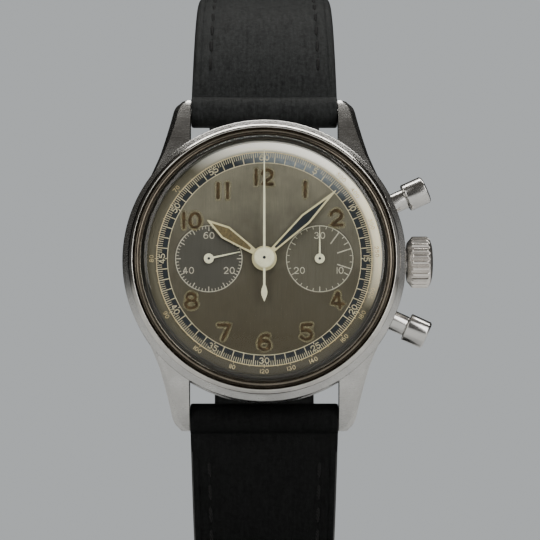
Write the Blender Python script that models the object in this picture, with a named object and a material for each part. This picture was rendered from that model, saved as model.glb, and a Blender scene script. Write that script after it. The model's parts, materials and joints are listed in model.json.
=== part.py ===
"""Chronograph wristwatch with its movement and leather strap, as separate solids.

Every shape is drawn in the watch's own frame, in millimetres: the origin is the centre of the
case back, +z runs out through the dial, +y to 12 o'clock and +x to the crown. One empty stands
the watch up, so that the dial faces -Y and 12 o'clock is at +Z.
"""
import math

import bmesh
import bpy
from mathutils import Matrix, Vector

MM = 0.001

# Case
CASE_R = 18.9
BORE_R = 15.9
CASE_TOP = 8.6
LUG_INSIDE = 10.0
LUG_TIP_Y = 22.4
LUG_TOP = 8.2
SPRING_BAR_Y = 20.9
SPRING_BAR_Z = 1.9
STEM_Z = 4.8
PUSHER_ANGLE = math.radians(24.5)
POST_RADIUS = 12.9

# Dial and hands: clockwise angles from 12 o'clock
DIAL_R = 15.75
SUBDIAL_X = 7.36
SUBDIAL_R = 4.6
HOUR_ANGLE = math.radians(303.9)
MINUTE_ANGLE = math.radians(46.5)
SMALL_SECONDS_ANGLE = math.radians(77.7)

# Movement: centre and pitch radius of each wheel, and its number of teeth
BARREL = (4.015, 5.734)
THIRD = (-4.2, -4.6)
FOURTH = (-SUBDIAL_X, 0.0)
COUNTER = (SUBDIAL_X, 0.0)
ESCAPE = (-10.3, 3.6)
PALLET = (-8.42, 5.25)
BALANCE = (-5.4, 7.9)
CROWN_WHEEL = (10.0, 0.0)
MINUTE_WHEEL = (0.0, -2.6)
COLUMN_WHEEL = (5.6, -10.2)
OPERATING_PIVOT = (12.3, -2.2)
RESET_PIVOT = (10.07, -8.55)
PLATE_R = 13.4
BRIDGE_R = 13.2

# Strap: each half leaves its spring bar and curves back behind the case
STRAP_WIDTH = 19.7
STRAP_END_WIDTH = 16.0
ROLL_R = 2.15
ROLL_BORE = 0.82
UPPER_LENGTH = 75.0
LOWER_LENGTH = 115.0
UPPER_HEADING = math.radians(20.0)
UPPER_LEGS = ((6.0, 0.0), (27.93, 1 / 20.0), (60.0, 1 / 30.0))
LOWER_HEADING = math.radians(12.0)
LOWER_LEGS = ((8.0, 0.0), (37.66, 1 / 26.0), (80.0, 1 / 45.0))
BUCKLE_REACH = 10.0

ROUND = 48
MEDIUM = 24
SMALL = 12
ALONG_X = (0.0, math.pi / 2, 0.0)

FINISHES = {
    "steel": ((0.55, 0.55, 0.54), 0.25, 1.0),
    "dark_steel": ((0.30, 0.29, 0.28), 0.35, 1.0),
    "brass": ((0.72, 0.56, 0.30), 0.35, 1.0),
    "gilt": ((0.80, 0.62, 0.32), 0.25, 1.0),
    "cream": ((0.85, 0.80, 0.66), 0.45, 0.0),
    "dial": ((0.30, 0.28, 0.22), 0.45, 0.3),
    "crystal": ((0.95, 0.96, 0.95), 0.03, 0.0),
    "rubber": ((0.03, 0.03, 0.03), 0.60, 0.0),
    "leather": ((0.02, 0.02, 0.02), 0.55, 0.0),
}


# ---------------------------------------------------------------- building blocks

def polar(radius, angle, centre=(0.0, 0.0)):
    return (centre[0] + radius * math.cos(angle), centre[1] + radius * math.sin(angle))


def circle(radius, steps=SMALL, centre=(0.0, 0.0)):
    return [polar(radius, 2 * math.pi * i / steps, centre) for i in range(steps)]


def sector(r_in, r_out, start, end, steps=16):
    """Outline of part of a ring, between two angles in degrees."""
    angles = [math.radians(start + (end - start) * i / steps) for i in range(steps + 1)]
    outer = [polar(r_out, a) for a in angles]
    inner = [polar(r_in, a) for a in reversed(angles)] if r_in else [(0.0, 0.0)]
    return outer + inner


def bar(points, half):
    """Outline of a flat lever: a bent line given a width, with square ends."""
    path = [Vector(p) for p in points]
    left = []
    right = []
    for i, point in enumerate(path):
        before = (point - path[i - 1]).normalized() if i else None
        after = (path[i + 1] - point).normalized() if i + 1 < len(path) else None
        if before is None or after is None:
            along = before or after
            side = Vector((-along.y, along.x)) * half
            point = point + along * (half if after is None else -half)
        else:
            along = (before + after).normalized()
            side = Vector((-along.y, along.x)) * (half / along.dot(after))
        left.append(tuple(point + side))
        right.append(tuple(point - side))
    return right + left[::-1]


def gear(teeth, radius, phase=0.0):
    """Gear outline on a pitch radius, with one tooth centred on the phase angle."""
    step = 2 * math.pi / teeth
    root = radius * (1 - 0.42 * step)
    tip = radius * (1 + 0.14 * step)
    outline = []
    for i in range(teeth):
        middle = phase + i * step
        outline.append(polar(root, middle - step / 2))
        outline.append(polar(tip, middle - 0.09 * step))
        outline.append(polar(tip, middle + 0.09 * step))
    return outline


def mating_phase(centre, teeth, phase, mate_centre, mate_teeth):
    """Phase at which the mate's tooth space meets this gear's tooth on the line of centres."""
    offset = Vector(mate_centre) - Vector(centre)
    line = math.atan2(offset.y, offset.x)
    part = ((line - phase) * teeth / (2 * math.pi)) % 1.0
    return line + math.pi - (0.5 - part) * 2 * math.pi / mate_teeth


def windows(r_in, r_out, count, rib, phase=0.0, steps=3):
    """Outlines of the openings between a wheel's spokes."""
    openings = []
    for i in range(count):
        start = phase + 2 * math.pi * i / count
        end = start + 2 * math.pi / count
        outer_gap = rib / r_out
        inner_gap = rib / r_in
        outline = [polar(r_out, start + outer_gap + (end - start - 2 * outer_gap) * k / steps)
                   for k in range(steps + 1)]
        outline += [polar(r_in, end - inner_gap - (end - start - 2 * inner_gap) * k / steps)
                    for k in range(steps + 1)]
        openings.append(outline)
    return openings


def spiral(r_start, r_end, turns, steps, thickness):
    """Outline of a spiral spring strip."""
    outside = []
    inside = []
    for i in range(steps + 1):
        angle = 2 * math.pi * turns * i / steps
        radius = r_start + (r_end - r_start) * i / steps
        outside.append(polar(radius + thickness / 2, angle))
        inside.append(polar(radius - thickness / 2, angle))
    return outside + inside[::-1]


def plate(z_low, z_high, outline, *holes):
    """Flat solid with an outline and through holes."""
    bm = bmesh.new()
    edges = []
    for loop in (outline, *holes):
        verts = [bm.verts.new((x, y, z_low)) for x, y in loop]
        edges += [bm.edges.new(pair) for pair in zip(verts, verts[1:] + verts[:1])]
    bmesh.ops.triangle_fill(bm, use_beauty=True, use_dissolve=False, edges=edges)
    top = bmesh.ops.extrude_face_region(bm, geom=bm.faces[:])
    moved = [item for item in top["geom"] if isinstance(item, bmesh.types.BMVert)]
    bmesh.ops.translate(bm, verts=moved, vec=(0.0, 0.0, z_high - z_low))
    bmesh.ops.recalc_face_normals(bm, faces=bm.faces[:])
    return bm


def turned(profile, steps=ROUND):
    """Solid of revolution about z. A profile off the axis closes on itself."""
    bm = bmesh.new()
    verts = [bm.verts.new((r, 0.0, z)) for r, z in profile]
    pairs = list(zip(verts, verts[1:]))
    if min(r for r, z in profile) > 0:
        pairs.append((verts[-1], verts[0]))
    edges = [bm.edges.new(pair) for pair in pairs]
    bmesh.ops.spin(bm, geom=verts + edges, cent=(0, 0, 0), axis=(0, 0, 1), dvec=(0, 0, 0),
                   angle=2 * math.pi, steps=steps, use_merge=True, use_duplicate=False)
    bmesh.ops.remove_doubles(bm, verts=bm.verts[:], dist=1e-4)
    bmesh.ops.recalc_face_normals(bm, faces=bm.faces[:])
    return bm


def rod(radius, low, high, steps=SMALL):
    return turned([(0, low), (radius, low), (radius, high), (0, high)], steps)


def ring(r_in, r_out, low, high, steps=ROUND):
    return turned([(r_in, low), (r_out, low), (r_out, high), (r_in, high)], steps)


def box(x_range, y_range, z_range):
    (x0, x1), (y0, y1), (z0, z1) = x_range, y_range, z_range
    return plate(z0, z1, [(x0, y0), (x1, y0), (x1, y1), (x0, y1)])


def loft(rings):
    """Closed solid through matching rings of points, with flat ends."""
    bm = bmesh.new()
    rows = [[bm.verts.new(point) for point in points] for points in rings]
    for row, following in zip(rows, rows[1:]):
        for i, vert in enumerate(row):
            j = (i + 1) % len(row)
            bm.faces.new((vert, row[j], following[j], following[i]))
    bm.faces.new(rows[0][::-1])
    bm.faces.new(rows[-1])
    bmesh.ops.recalc_face_normals(bm, faces=bm.faces[:])
    return bm


def face_gear(r_in, r_out, z_base, z_root, z_tip, teeth):
    """Ring with teeth on its flat side, one of them centred on the +x axis."""
    bm = bmesh.new()
    rows = []
    for i in range(2 * teeth):
        angle = math.pi * i / teeth
        height = z_root if i % 2 else z_tip
        corners = [(r_in, z_base), (r_out, z_base), (r_out, height), (r_in, height)]
        rows.append([bm.verts.new((*polar(r, angle), z)) for r, z in corners])
    for row, following in zip(rows, rows[1:] + rows[:1]):
        for i in range(4):
            j = (i + 1) % 4
            bm.faces.new((row[i], row[j], following[j], following[i]))
    bmesh.ops.recalc_face_normals(bm, faces=bm.faces[:])
    return bm


# ---------------------------------------------------------------- objects

def clear_scene():
    for obj in list(bpy.data.objects):
        bpy.data.objects.remove(obj, do_unlink=True)


def make_stand():
    """Empty that stands the watch up: dial towards -Y, 12 o'clock at +Z."""
    stand = bpy.data.objects.new("watch", None)
    stand.rotation_euler = (math.pi / 2, 0.0, 0.0)
    bpy.context.collection.objects.link(stand)
    return stand


def make_material(name, finish):
    colour, roughness, metallic = FINISHES[finish]
    material = bpy.data.materials.new(name)
    material.use_nodes = True
    shader = material.node_tree.nodes["Principled BSDF"]
    shader.inputs["Base Color"].default_value = (*colour, 1.0)
    shader.inputs["Roughness"].default_value = roughness
    shader.inputs["Metallic"].default_value = metallic
    if finish == "crystal":
        shader.inputs["Transmission Weight"].default_value = 1.0
    return material


def place(name, bm, at, turn):
    bmesh.ops.transform(bm, matrix=Matrix.Scale(MM, 4), verts=bm.verts[:])
    mesh = bpy.data.meshes.new(name)
    bm.to_mesh(mesh)
    bm.free()
    obj = bpy.data.objects.new(name, mesh)
    obj.parent = STAND
    obj.location = Vector(at) * MM
    obj.rotation_euler = turn
    bpy.context.collection.objects.link(obj)
    return obj


def part(name, finish, bm, at=(0.0, 0.0, 0.0), turn=(0.0, 0.0, 0.0)):
    """Named piece of the watch, with its origin at a point given in millimetres."""
    obj = place(name, bm, at, turn)
    obj.data.materials.append(make_material(name + "_" + finish, finish))
    obj.data.shade_smooth()
    obj.data.set_sharp_from_angle(angle=math.radians(35))
    return obj


def combine(target, operation, bm, at=(0.0, 0.0, 0.0), turn=(0.0, 0.0, 0.0)):
    """Boolean of a piece with a hidden tool shape."""
    helper = place("tool_" + target.name, bm, at, turn)
    helper.hide_render = True
    helper.display_type = "WIRE"
    modifier = target.modifiers.new(operation.lower(), "BOOLEAN")
    modifier.operation = operation
    modifier.solver = "EXACT"
    modifier.object = helper


def cut(target, bm, at=(0.0, 0.0, 0.0), turn=(0.0, 0.0, 0.0)):
    combine(target, "DIFFERENCE", bm, at, turn)


def fuse(target, bm, at=(0.0, 0.0, 0.0), turn=(0.0, 0.0, 0.0)):
    combine(target, "UNION", bm, at, turn)


# ---------------------------------------------------------------- case

def lug_edge(y):
    """Outer edge of a lug in plan: half width of the case at a height above its centre."""
    edge = ((10.4, 15.6), (12.4, 14.7), (14.2, 13.95), (16.5, 13.3), (18.9, 12.7),
            (21.2, 12.2), (LUG_TIP_Y, 11.3))
    for (y0, x0), (y1, x1) in zip(edge, edge[1:]):
        if y <= y1:
            return x0 + (x1 - x0) * (y - y0) / (y1 - y0)
    return edge[-1][1]


def lug(side, end):
    """One lug: slopes down from the case's top to a low tip, outer edge bevelled."""
    rings = []
    for y in (10.4, 12.6, 14.2, 16.5, 18.9, 20.6, 21.8, LUG_TIP_Y):
        inner = max(LUG_INSIDE, math.sqrt(max(0.0, (BORE_R + 0.5) ** 2 - y ** 2)))
        outer = lug_edge(y)
        top = LUG_TOP - 5.2 * (max(0.0, y - 12.0) / 10.4) ** 1.6
        bottom = max(0.25, 1.2 - 0.95 * max(0.0, y - 14.0) / 6.0)
        bevel = 0.6
        section = [(inner, bottom), (outer, bottom), (outer, top - bevel),
                   (outer - bevel, top), (inner, top)]
        rings.append([(side * x, end * y, z) for x, z in section])
    return loft(rings)


def make_mid_case():
    profile = [(16.3, 1.0), (17.2, 1.0), (CASE_R, 3.5), (CASE_R, 6.6), (18.1, 8.5),
               (18.0, CASE_TOP), (BORE_R, CASE_TOP), (BORE_R, 1.5), (16.3, 1.5)]
    case = part("mid_case", "dark_steel", turned(profile))
    for side in (-1, 1):
        for end in (-1, 1):
            fuse(case, lug(side, end))
    for end in (-1, 1):
        cut(case, rod(0.5, -11.1, 11.1), (0, end * SPRING_BAR_Y, SPRING_BAR_Z), ALONG_X)
        cut(case, rod(1.37, 15.0, 20.0, 16), (0, 0, STEM_Z),
            (0, math.pi / 2, end * PUSHER_ANGLE))
    cut(case, rod(1.29, 15.0, 20.0, 16), (0, 0, STEM_Z), ALONG_X)


def make_case_parts():
    part("bezel", "steel", turned([(16.35, 8.63), (18.05, 8.63), (18.05, 9.6), (17.85, 10.05),
                                   (17.5, 10.2), (17.25, 10.0), (16.4, 9.9), (16.35, 9.8)]))
    part("crystal", "crystal", turned([(0, 10.75), (15.9, 10.75), (15.9, 8.68), (16.3, 8.68),
                                       (16.3, 10.9), (15.8, 11.3), (9.0, 11.9), (0, 12.1)]))
    part("tension_ring", "dark_steel", ring(15.6, 15.85, 8.88, 10.2))
    part("case_back", "steel", turned([(0, 0), (13.5, 0), (16.6, 0.75), (16.6, 0.97),
                                       (15.8, 0.97), (15.8, 1.9), (14.9, 1.9), (14.9, 0.8),
                                       (0, 0.8)]))
    part("case_back_gasket", "rubber", ring(15.85, 16.25, 1.05, 1.45))
    part("movement_ring", "brass", ring(13.6, 15.75, 6.1, 8.4))


def make_spring_bars():
    half = 10.9
    body = 9.7
    profile = [(0, -half), (0.4, -half), (0.4, -body), (0.75, -body), (0.75, body),
               (0.4, body), (0.4, half), (0, half)]
    for name, y in (("spring_bar_upper", SPRING_BAR_Y), ("spring_bar_lower", -SPRING_BAR_Y)):
        part(name, "steel", turned(profile, SMALL), (0, y, SPRING_BAR_Z), ALONG_X)


def make_crown():
    axis = (0, 0, STEM_Z)
    part("crown_tube", "steel", ring(0.75, 1.25, 16.0, 19.9, 16), axis, ALONG_X)
    outline = []
    flutes = 24
    for i in range(flutes):
        angle = 2 * math.pi * i / flutes
        outline.append(polar(3.45, angle - 0.07))
        outline.append(polar(3.45, angle + 0.07))
        outline.append(polar(3.2, angle + math.pi / flutes))
    crown = part("crown", "steel", plate(19.4, 22.2, outline), axis, ALONG_X)
    fuse(crown, turned([(0, 19.1), (2.7, 19.1), (3.1, 19.5), (3.1, 22.1), (2.6, 22.45),
                        (1.2, 22.6), (0, 22.6)], MEDIUM), axis, ALONG_X)
    cut(crown, rod(1.45, 18.0, 20.3, 16), axis, ALONG_X)
    part("winding_stem", "steel", rod(0.6, 9.9, 20.28), axis, ALONG_X)


def make_pushers():
    for name, sign in (("start_pusher", 1), ("reset_pusher", -1)):
        turn = (0, math.pi / 2, sign * PUSHER_ANGLE)
        axis = (0, 0, STEM_Z)
        part(name + "_tube", "steel", ring(0.75, 1.33, 16.2, 21.9, 16), axis, turn)
        stem_end = POST_RADIUS + 0.35
        profile = [(0, stem_end), (0.5, stem_end), (0.5, 23.2), (1.43, 23.2), (1.43, 20.9),
                   (1.75, 20.9), (1.87, 21.05), (1.87, 23.65), (1.6, 23.9), (0, 23.9)]
        part(name, "steel", turned(profile, 20), axis, turn)


# ---------------------------------------------------------------- movement frame

def make_main_plate():
    holes = [circle(0.45, SMALL)]
    holes += [circle(0.25, 8, at) for at in (FOURTH, THIRD, ESCAPE, PALLET, BALANCE)]
    holes.append(circle(0.3, 8, COUNTER))
    for degrees in (-40, 220):
        holes.append(circle(0.46, 10, polar(12.8, math.radians(degrees))))
    main = part("main_plate", "brass", plate(6.0, 7.5, circle(PLATE_R, ROUND), *holes))
    cut(main, rod(1.45, 9.5, 14.0, 16), (0, 0, STEM_Z), ALONG_X)
    fuse(main, rod(0.2, 7.3, 8.3, 8), (*MINUTE_WHEEL, 0))


def make_barrel_bridge():
    bridge = part("barrel_bridge", "brass",
                  plate(3.4, 4.05, sector(5.95, BRIDGE_R, -16, 102),
                        circle(0.9, SMALL, BARREL), circle(0.3, 8, COUNTER)))
    fuse(bridge, rod(0.55, 4.0, 5.98, 10), (-2.2, 12.2, 0))
    fuse(bridge, rod(0.55, 4.0, 5.98, 10), (12.0, 3.2, 0))
    fuse(bridge, rod(0.33, 1.3, 3.5, 10), (*OPERATING_PIVOT, 0))
    cut(bridge, ring(1.55, 2.45, 3.3, 3.85, 20), (*CROWN_WHEEL, 0))
    cut(bridge, rod(1.25, 10.1, 12.0, 16), (0, 0, STEM_Z), ALONG_X)
    cut(bridge, rod(1.4, 11.4, 14.0, 16), (0, 0, STEM_Z), ALONG_X)
    cut(bridge, box((10.7, 14.0), (-0.65, 1.05), (3.0, 4.5)), turn=(0, 0, PUSHER_ANGLE))


def make_train_bridge():
    outline = sector(0, BRIDGE_R, 150, 325, 20)
    holes = [circle(0.25, 8, at) for at in (FOURTH, THIRD, ESCAPE)]
    bridge = part("train_bridge", "brass", plate(2.6, 3.5, outline, *holes))
    fuse(bridge, rod(1.8, 2.65, 3.45, 16))
    cut(bridge, rod(6.45, 2.0, 4.0, 32), (*BARREL, 0))
    cut(bridge, rod(0.28, 2.0, 4.0, 10))
    fuse(bridge, rod(0.6, 3.4, 5.98, 10), (-11.65, -4.24, 0))
    fuse(bridge, rod(0.6, 3.4, 5.98, 10), (1.06, -12.15, 0))
    fuse(bridge, rod(0.3, 1.35, 2.7, 8), (*COLUMN_WHEEL, 0))
    fuse(bridge, rod(0.33, 2.1, 2.7, 10), (*RESET_PIVOT, 0))


def make_cocks():
    cock = part("balance_cock", "brass",
                plate(2.6, 3.3, sector(5.5, BRIDGE_R, 116, 146, 6), circle(0.25, 8, BALANCE)))
    foot = (-9.42, 7.9, 0)
    fuse(cock, rod(0.62, 3.2, 5.98), foot)
    cut(cock, rod(0.4, 2.0, 4.9, 10), foot)
    screw = [(0, 2.2), (0.8, 2.2), (0.8, 2.58), (0.35, 2.58), (0.35, 4.8), (0, 4.8)]
    part("balance_cock_screw", "steel", turned(screw, SMALL), foot)
    pallet = part("pallet_cock", "brass",
                  plate(4.55, 4.85, bar([PALLET, (-11.0, 6.4)], 0.5), circle(0.22, 8, PALLET)))
    fuse(pallet, rod(0.45, 4.7, 5.98, 10), (-11.0, 6.4, 0))


def make_chronograph_bridge():
    far_end = (-4.7, -1.71)
    side_end = (2.05, -5.64)
    bridge = part("chronograph_bridge", "brass",
                  plate(1.15, 1.5, bar([far_end, (0, 0), COUNTER], 0.9),
                        circle(0.26, 8), circle(0.26, 8, COUNTER)))
    fuse(bridge, plate(1.18, 1.47, bar([(0.3, -0.8), side_end], 0.7)))
    for x, y in (far_end, side_end):
        fuse(bridge, rod(0.5, 1.3, 2.58, 10), (x, y, 0))


def make_case_screws():
    profile = [(0, 5.5), (1.1, 5.5), (1.1, 5.98), (0.4, 5.98), (0.4, 7.2), (0, 7.2)]
    for name, degrees in (("case_screw_left", 220), ("case_screw_right", -40)):
        part(name, "steel", turned(profile, SMALL), (*polar(12.8, math.radians(degrees)), 0))


# ---------------------------------------------------------------- winding

def make_winding():
    axis = (0, 0, STEM_Z)
    part("winding_pinion", "steel", plate(11.6, 12.4, gear(12, 1.15, math.radians(15)),
                                          circle(0.65, 10)), axis, ALONG_X)
    part("sliding_pinion", "steel", plate(10.3, 11.4, gear(12, 1.1, math.radians(15)),
                                          circle(0.65, 10)), axis, ALONG_X)
    wheel = part("crown_wheel", "steel", plate(2.85, 3.3, gear(24, 2.21, CROWN_PHASE),
                                               circle(0.6, 10)), (*CROWN_WHEEL, 0))
    fuse(wheel, face_gear(1.65, 2.3, 3.2, 3.4, 3.72, 22), (*CROWN_WHEEL, 0))
    part("ratchet_wheel", "steel", plate(2.85, 3.3, gear(66, 6.08), circle(0.85)), (*BARREL, 0))
    part("barrel_arbor", "steel", rod(0.8, 2.6, 5.9), (*BARREL, 0))
    drum = part("barrel_drum", "brass", plate(4.2, 4.5, gear(72, 6.0), circle(0.9)), (*BARREL, 0))
    fuse(drum, ring(5.3, 5.7, 4.3, 5.85, MEDIUM), (*BARREL, 0))
    part("mainspring", "steel", plate(4.65, 5.7, spiral(1.0, 5.0, 4.5, 72, 0.12)), (*BARREL, 0))


# ---------------------------------------------------------------- going train

def geared(name, wheel, pinion, at, arbor, spokes=None, finish="brass"):
    """Wheel and pinion on one arbor. Each is (teeth, radius, phase, low, high)."""
    teeth, radius, phase, low, high = wheel
    openings = windows(spokes[0], spokes[1], 4, 0.25) if spokes else []
    obj = part(name, finish, plate(low, high, gear(teeth, radius, phase), *openings), (*at, 0))
    teeth, radius, phase, low, high = pinion
    fuse(obj, plate(low, high, gear(teeth, radius, phase)), (*at, 0))
    fuse(obj, rod(*arbor, 8), (*at, 0))
    return obj


def make_train():
    centre = geared("centre_wheel", (64, 5.54, 0.0, 3.7, 3.9), (12, 1.0, CENTRE_PINION, 3.8, 4.6),
                    (0, 0), (0.38, 3.55, 8.6), (1.3, 4.8))
    cut(centre, rod(0.26, 3.0, 9.0, 8))
    geared("third_wheel", (60, 4.92, 0.0, 5.2, 5.4), (8, 0.692, THIRD_PINION, 3.6, 4.1),
           THIRD, (0.16, 2.75, 6.6), (1.0, 4.2))
    geared("fourth_wheel", (60, 4.23, 0.0, 4.5, 4.7), (8, 0.656, FOURTH_PINION, 5.05, 5.55),
           FOURTH, (0.16, 2.75, 8.86), (1.0, 3.5))
    make_escapement()


def escape_outline():
    """Fifteen slanted club teeth."""
    step = 2 * math.pi / 15
    outline = []
    for i in range(15):
        start = i * step
        outline.append(polar(1.75, start))
        outline.append(polar(1.75, start + 0.55 * step))
        outline.append(polar(2.2, start + 0.72 * step))
        outline.append(polar(2.15, start + 0.86 * step))
    return outline


def make_escapement():
    wheel = part("escape_wheel", "steel", plate(5.0, 5.2, escape_outline()), (*ESCAPE, 0))
    fuse(wheel, plate(4.4, 4.8, gear(6, 0.42, ESCAPE_PINION)), (*ESCAPE, 0))
    fuse(wheel, rod(0.15, 2.75, 6.6, 8), (*ESCAPE, 0))
    lever = Vector(BALANCE) - Vector(PALLET)
    outline = [(-0.55, -1.85), (-0.55, -1.6), (-0.12, -1.6), (-0.12, 1.6), (-0.55, 1.6),
               (-0.55, 1.85), (0.15, 1.85), (0.15, 0.12), (2.7, 0.12), (3.3, 0.4), (3.3, 0.2),
               (3.0, 0.0), (3.3, -0.2), (3.3, -0.4), (2.7, -0.12), (0.15, -0.12), (0.15, -1.85)]
    fork = part("pallet_fork", "steel", plate(5.0, 5.2, outline), (*PALLET, 0),
                (0, 0, math.atan2(lever.y, lever.x)))
    fuse(fork, rod(0.14, 4.6, 6.6, 8), (*PALLET, 0))
    balance = part("balance_wheel", "brass",
                   plate(3.9, 4.4, circle(3.2, MEDIUM), *windows(0.7, 2.75, 2, 0.3, 0.0, 8)),
                   (*BALANCE, 0))
    fuse(balance, rod(0.15, 2.75, 6.6, 8), (*BALANCE, 0))
    fuse(balance, rod(0.6, 5.0, 5.2), (*BALANCE, 0))
    part("hairspring", "steel", plate(3.45, 3.7, spiral(0.4, 1.8, 4, 44, 0.06)), (*BALANCE, 0))


def make_motion_work():
    cannon = part("cannon_pinion", "steel", plate(7.55, 7.9, gear(12, 0.65)))
    fuse(cannon, rod(0.58, 7.7, 9.48))
    cut(cannon, rod(0.42, 7.0, 10.0))
    wheel = part("minute_wheel", "brass", plate(7.6, 7.8, gear(36, 1.95, MINUTE_WHEEL_PHASE)),
                 (*MINUTE_WHEEL, 0))
    fuse(wheel, plate(7.7, 8.3, gear(10, 0.52)), (*MINUTE_WHEEL, 0))
    cut(wheel, rod(0.25, 7.0, 9.0, 8), (*MINUTE_WHEEL, 0))
    hour = part("hour_wheel", "brass", plate(8.0, 8.2, gear(40, 2.08, HOUR_WHEEL_PHASE)))
    fuse(hour, rod(0.95, 8.1, 9.08))
    cut(hour, rod(0.72, 7.5, 9.5))


# ---------------------------------------------------------------- chronograph work

def make_chronograph():
    runner = part("chronograph_runner", "brass",
                  plate(1.75, 1.95, circle(3.9, 36), *windows(0.9, 3.3, 4, 0.25)))
    fuse(runner, rod(0.18, 1.52, 9.83, 8))
    counter = part("minute_counter_wheel", "brass",
                   plate(1.75, 1.95, gear(30, 2.95), *windows(0.8, 2.2, 4, 0.25)), (*COUNTER, 0))
    fuse(counter, rod(0.18, 1.52, 8.86, 8), (*COUNTER, 0))
    columns = []
    for i in range(6):
        angle = i * math.pi / 3
        columns += [polar(1.2, angle), polar(1.2, angle + 0.5)]
        columns += [polar(0.65, angle + 0.55), polar(0.65, angle + 1.0)]
    wheel = part("column_wheel", "steel", plate(1.3, 1.6, gear(12, 1.3)), (*COLUMN_WHEEL, 0))
    fuse(wheel, plate(1.5, 2.45, columns), (*COLUMN_WHEEL, 0))
    cut(wheel, rod(0.36, 1.0, 3.0, 8), (*COLUMN_WHEEL, 0))
    make_levers()


def lever(name, z_low, z_high, points, pivot, post, half):
    """Flat lever with its origin on its pivot and a post that a pusher's stem meets."""
    shift = [(x - pivot[0], y - pivot[1]) for x, y in points]
    obj = part(name, "steel", plate(z_low, z_high, bar(shift, half), circle(0.38, 10)),
               (*pivot, 0))
    fuse(obj, rod(0.3, z_low + 0.1, 5.3, 10), (*post, 0))


def make_levers():
    start_post = polar(POST_RADIUS, PUSHER_ANGLE)
    reset_post = polar(POST_RADIUS, -PUSHER_ANGLE)
    lever("operating_lever", 1.25, 1.65, [start_post, OPERATING_PIVOT, (7.45, -8.98)],
          OPERATING_PIVOT, start_post, 0.7)
    lever("reset_lever", 2.05, 2.45, [reset_post, RESET_PIVOT, (6.0, -4.4)],
          RESET_PIVOT, reset_post, 0.6)


# ---------------------------------------------------------------- dial and hands

def make_dial():
    dial = part("dial", "dial", plate(8.45, 8.85, circle(DIAL_R, ROUND), circle(1.1, SMALL),
                                      circle(0.35, 8, FOURTH), circle(0.35, 8, COUNTER)))
    for at in (FOURTH, COUNTER):
        cut(dial, rod(SUBDIAL_R, 8.7, 9.2, 36), (*at, 0))


def lozenge(length, widest_at, half, start):
    """Pointed hand that swells to its widest point: outline along +y."""
    return [(-0.3, start), (0.3, start), (half, widest_at), (0.08, length), (-0.08, length),
            (-half, widest_at)]


def make_hands():
    hour = part("hour_hand", "gilt", plate(9.15, 9.3, lozenge(9.16, 6.2, 0.9, 1.0)),
                turn=(0, 0, -HOUR_ANGLE))
    fuse(hour, ring(0.72, 1.65, 9.1, 9.4, MEDIUM))
    minute = part("minute_hand", "gilt", plate(9.55, 9.7, lozenge(13.2, 7.6, 0.75, 0.9)),
                  turn=(0, 0, -MINUTE_ANGLE))
    fuse(minute, ring(0.3, 1.5, 9.5, 9.75, MEDIUM))
    sweep = part("chrono_seconds_hand", "cream",
                 plate(9.95, 10.1, [(-0.15, -3.8), (-0.42, -4.6), (0, -5.86), (0.42, -4.6),
                                    (0.15, -3.8), (0.15, 10.0), (0.05, 14.6), (-0.05, 14.6),
                                    (-0.15, 10.0)]))
    fuse(sweep, rod(1.35, 9.85, 10.35, MEDIUM))
    for name, at, length, angle in (("small_seconds_hand", FOURTH, 4.24, SMALL_SECONDS_ANGLE),
                                    ("minute_counter_hand", COUNTER, 3.76, 0.0)):
        hand = part(name, "cream", plate(8.9, 9.0, [(-0.14, -1.2), (0.14, -1.2),
                                                    (0.05, length), (-0.05, length)]),
                    (*at, 0), (0, 0, -angle))
        fuse(hand, rod(0.66, 8.89, 9.07, 16), (*at, 0))


# ---------------------------------------------------------------- strap

def strap_point(s, heading, legs):
    """Distance from the case centre, height and heading at a length along a strap half."""
    y = SPRING_BAR_Y
    z = SPRING_BAR_Z
    for length, curvature in legs:
        run = min(s, length)
        if curvature:
            after = heading + curvature * run
            y += (math.sin(after) - math.sin(heading)) / curvature
            z -= (math.cos(heading) - math.cos(after)) / curvature
            heading = after
        else:
            y += run * math.cos(heading)
            z -= run * math.sin(heading)
        s -= run
        if s <= 0:
            break
    return y, z, heading


def strap_width(s):
    return STRAP_WIDTH + (STRAP_END_WIDTH - STRAP_WIDTH) * min(1.0, s / UPPER_LENGTH)


def strap_thickness(s):
    knots = ((1.0, 3.6), (2.2, 4.0), (10.0, 3.0), (30.0, 2.4), (60.0, 2.0), (200.0, 2.0))
    for (s0, t0), (s1, t1) in zip(knots, knots[1:]):
        if s <= s1:
            return t0 + (t1 - t0) * (s - s0) / (s1 - s0)
    return knots[-1][1]


def strap_body(end, stations, heading, legs, length, tip=0.0):
    """Band of leather along its path, about the spring bar; its edges are chamfered."""
    rings = []
    for s in stations:
        y, z, angle = strap_point(s, heading, legs)
        half = strap_width(s) / 2
        if tip and s > length - tip:
            half *= math.sqrt(max(0.03, 1 - ((s - length + tip) / tip) ** 2))
        thick = strap_thickness(s) / 2
        edge = min(0.5, half / 3)
        section = [(-half, -thick + edge), (-half + edge, -thick), (half - edge, -thick),
                   (half, -thick + edge), (half, thick - edge), (half - edge, thick),
                   (-half + edge, thick), (-half, thick - edge)]
        rings.append([(x, end * (y - SPRING_BAR_Y + n * math.sin(angle)),
                       z - SPRING_BAR_Z + n * math.cos(angle)) for x, n in section])
    return loft(rings)


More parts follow.
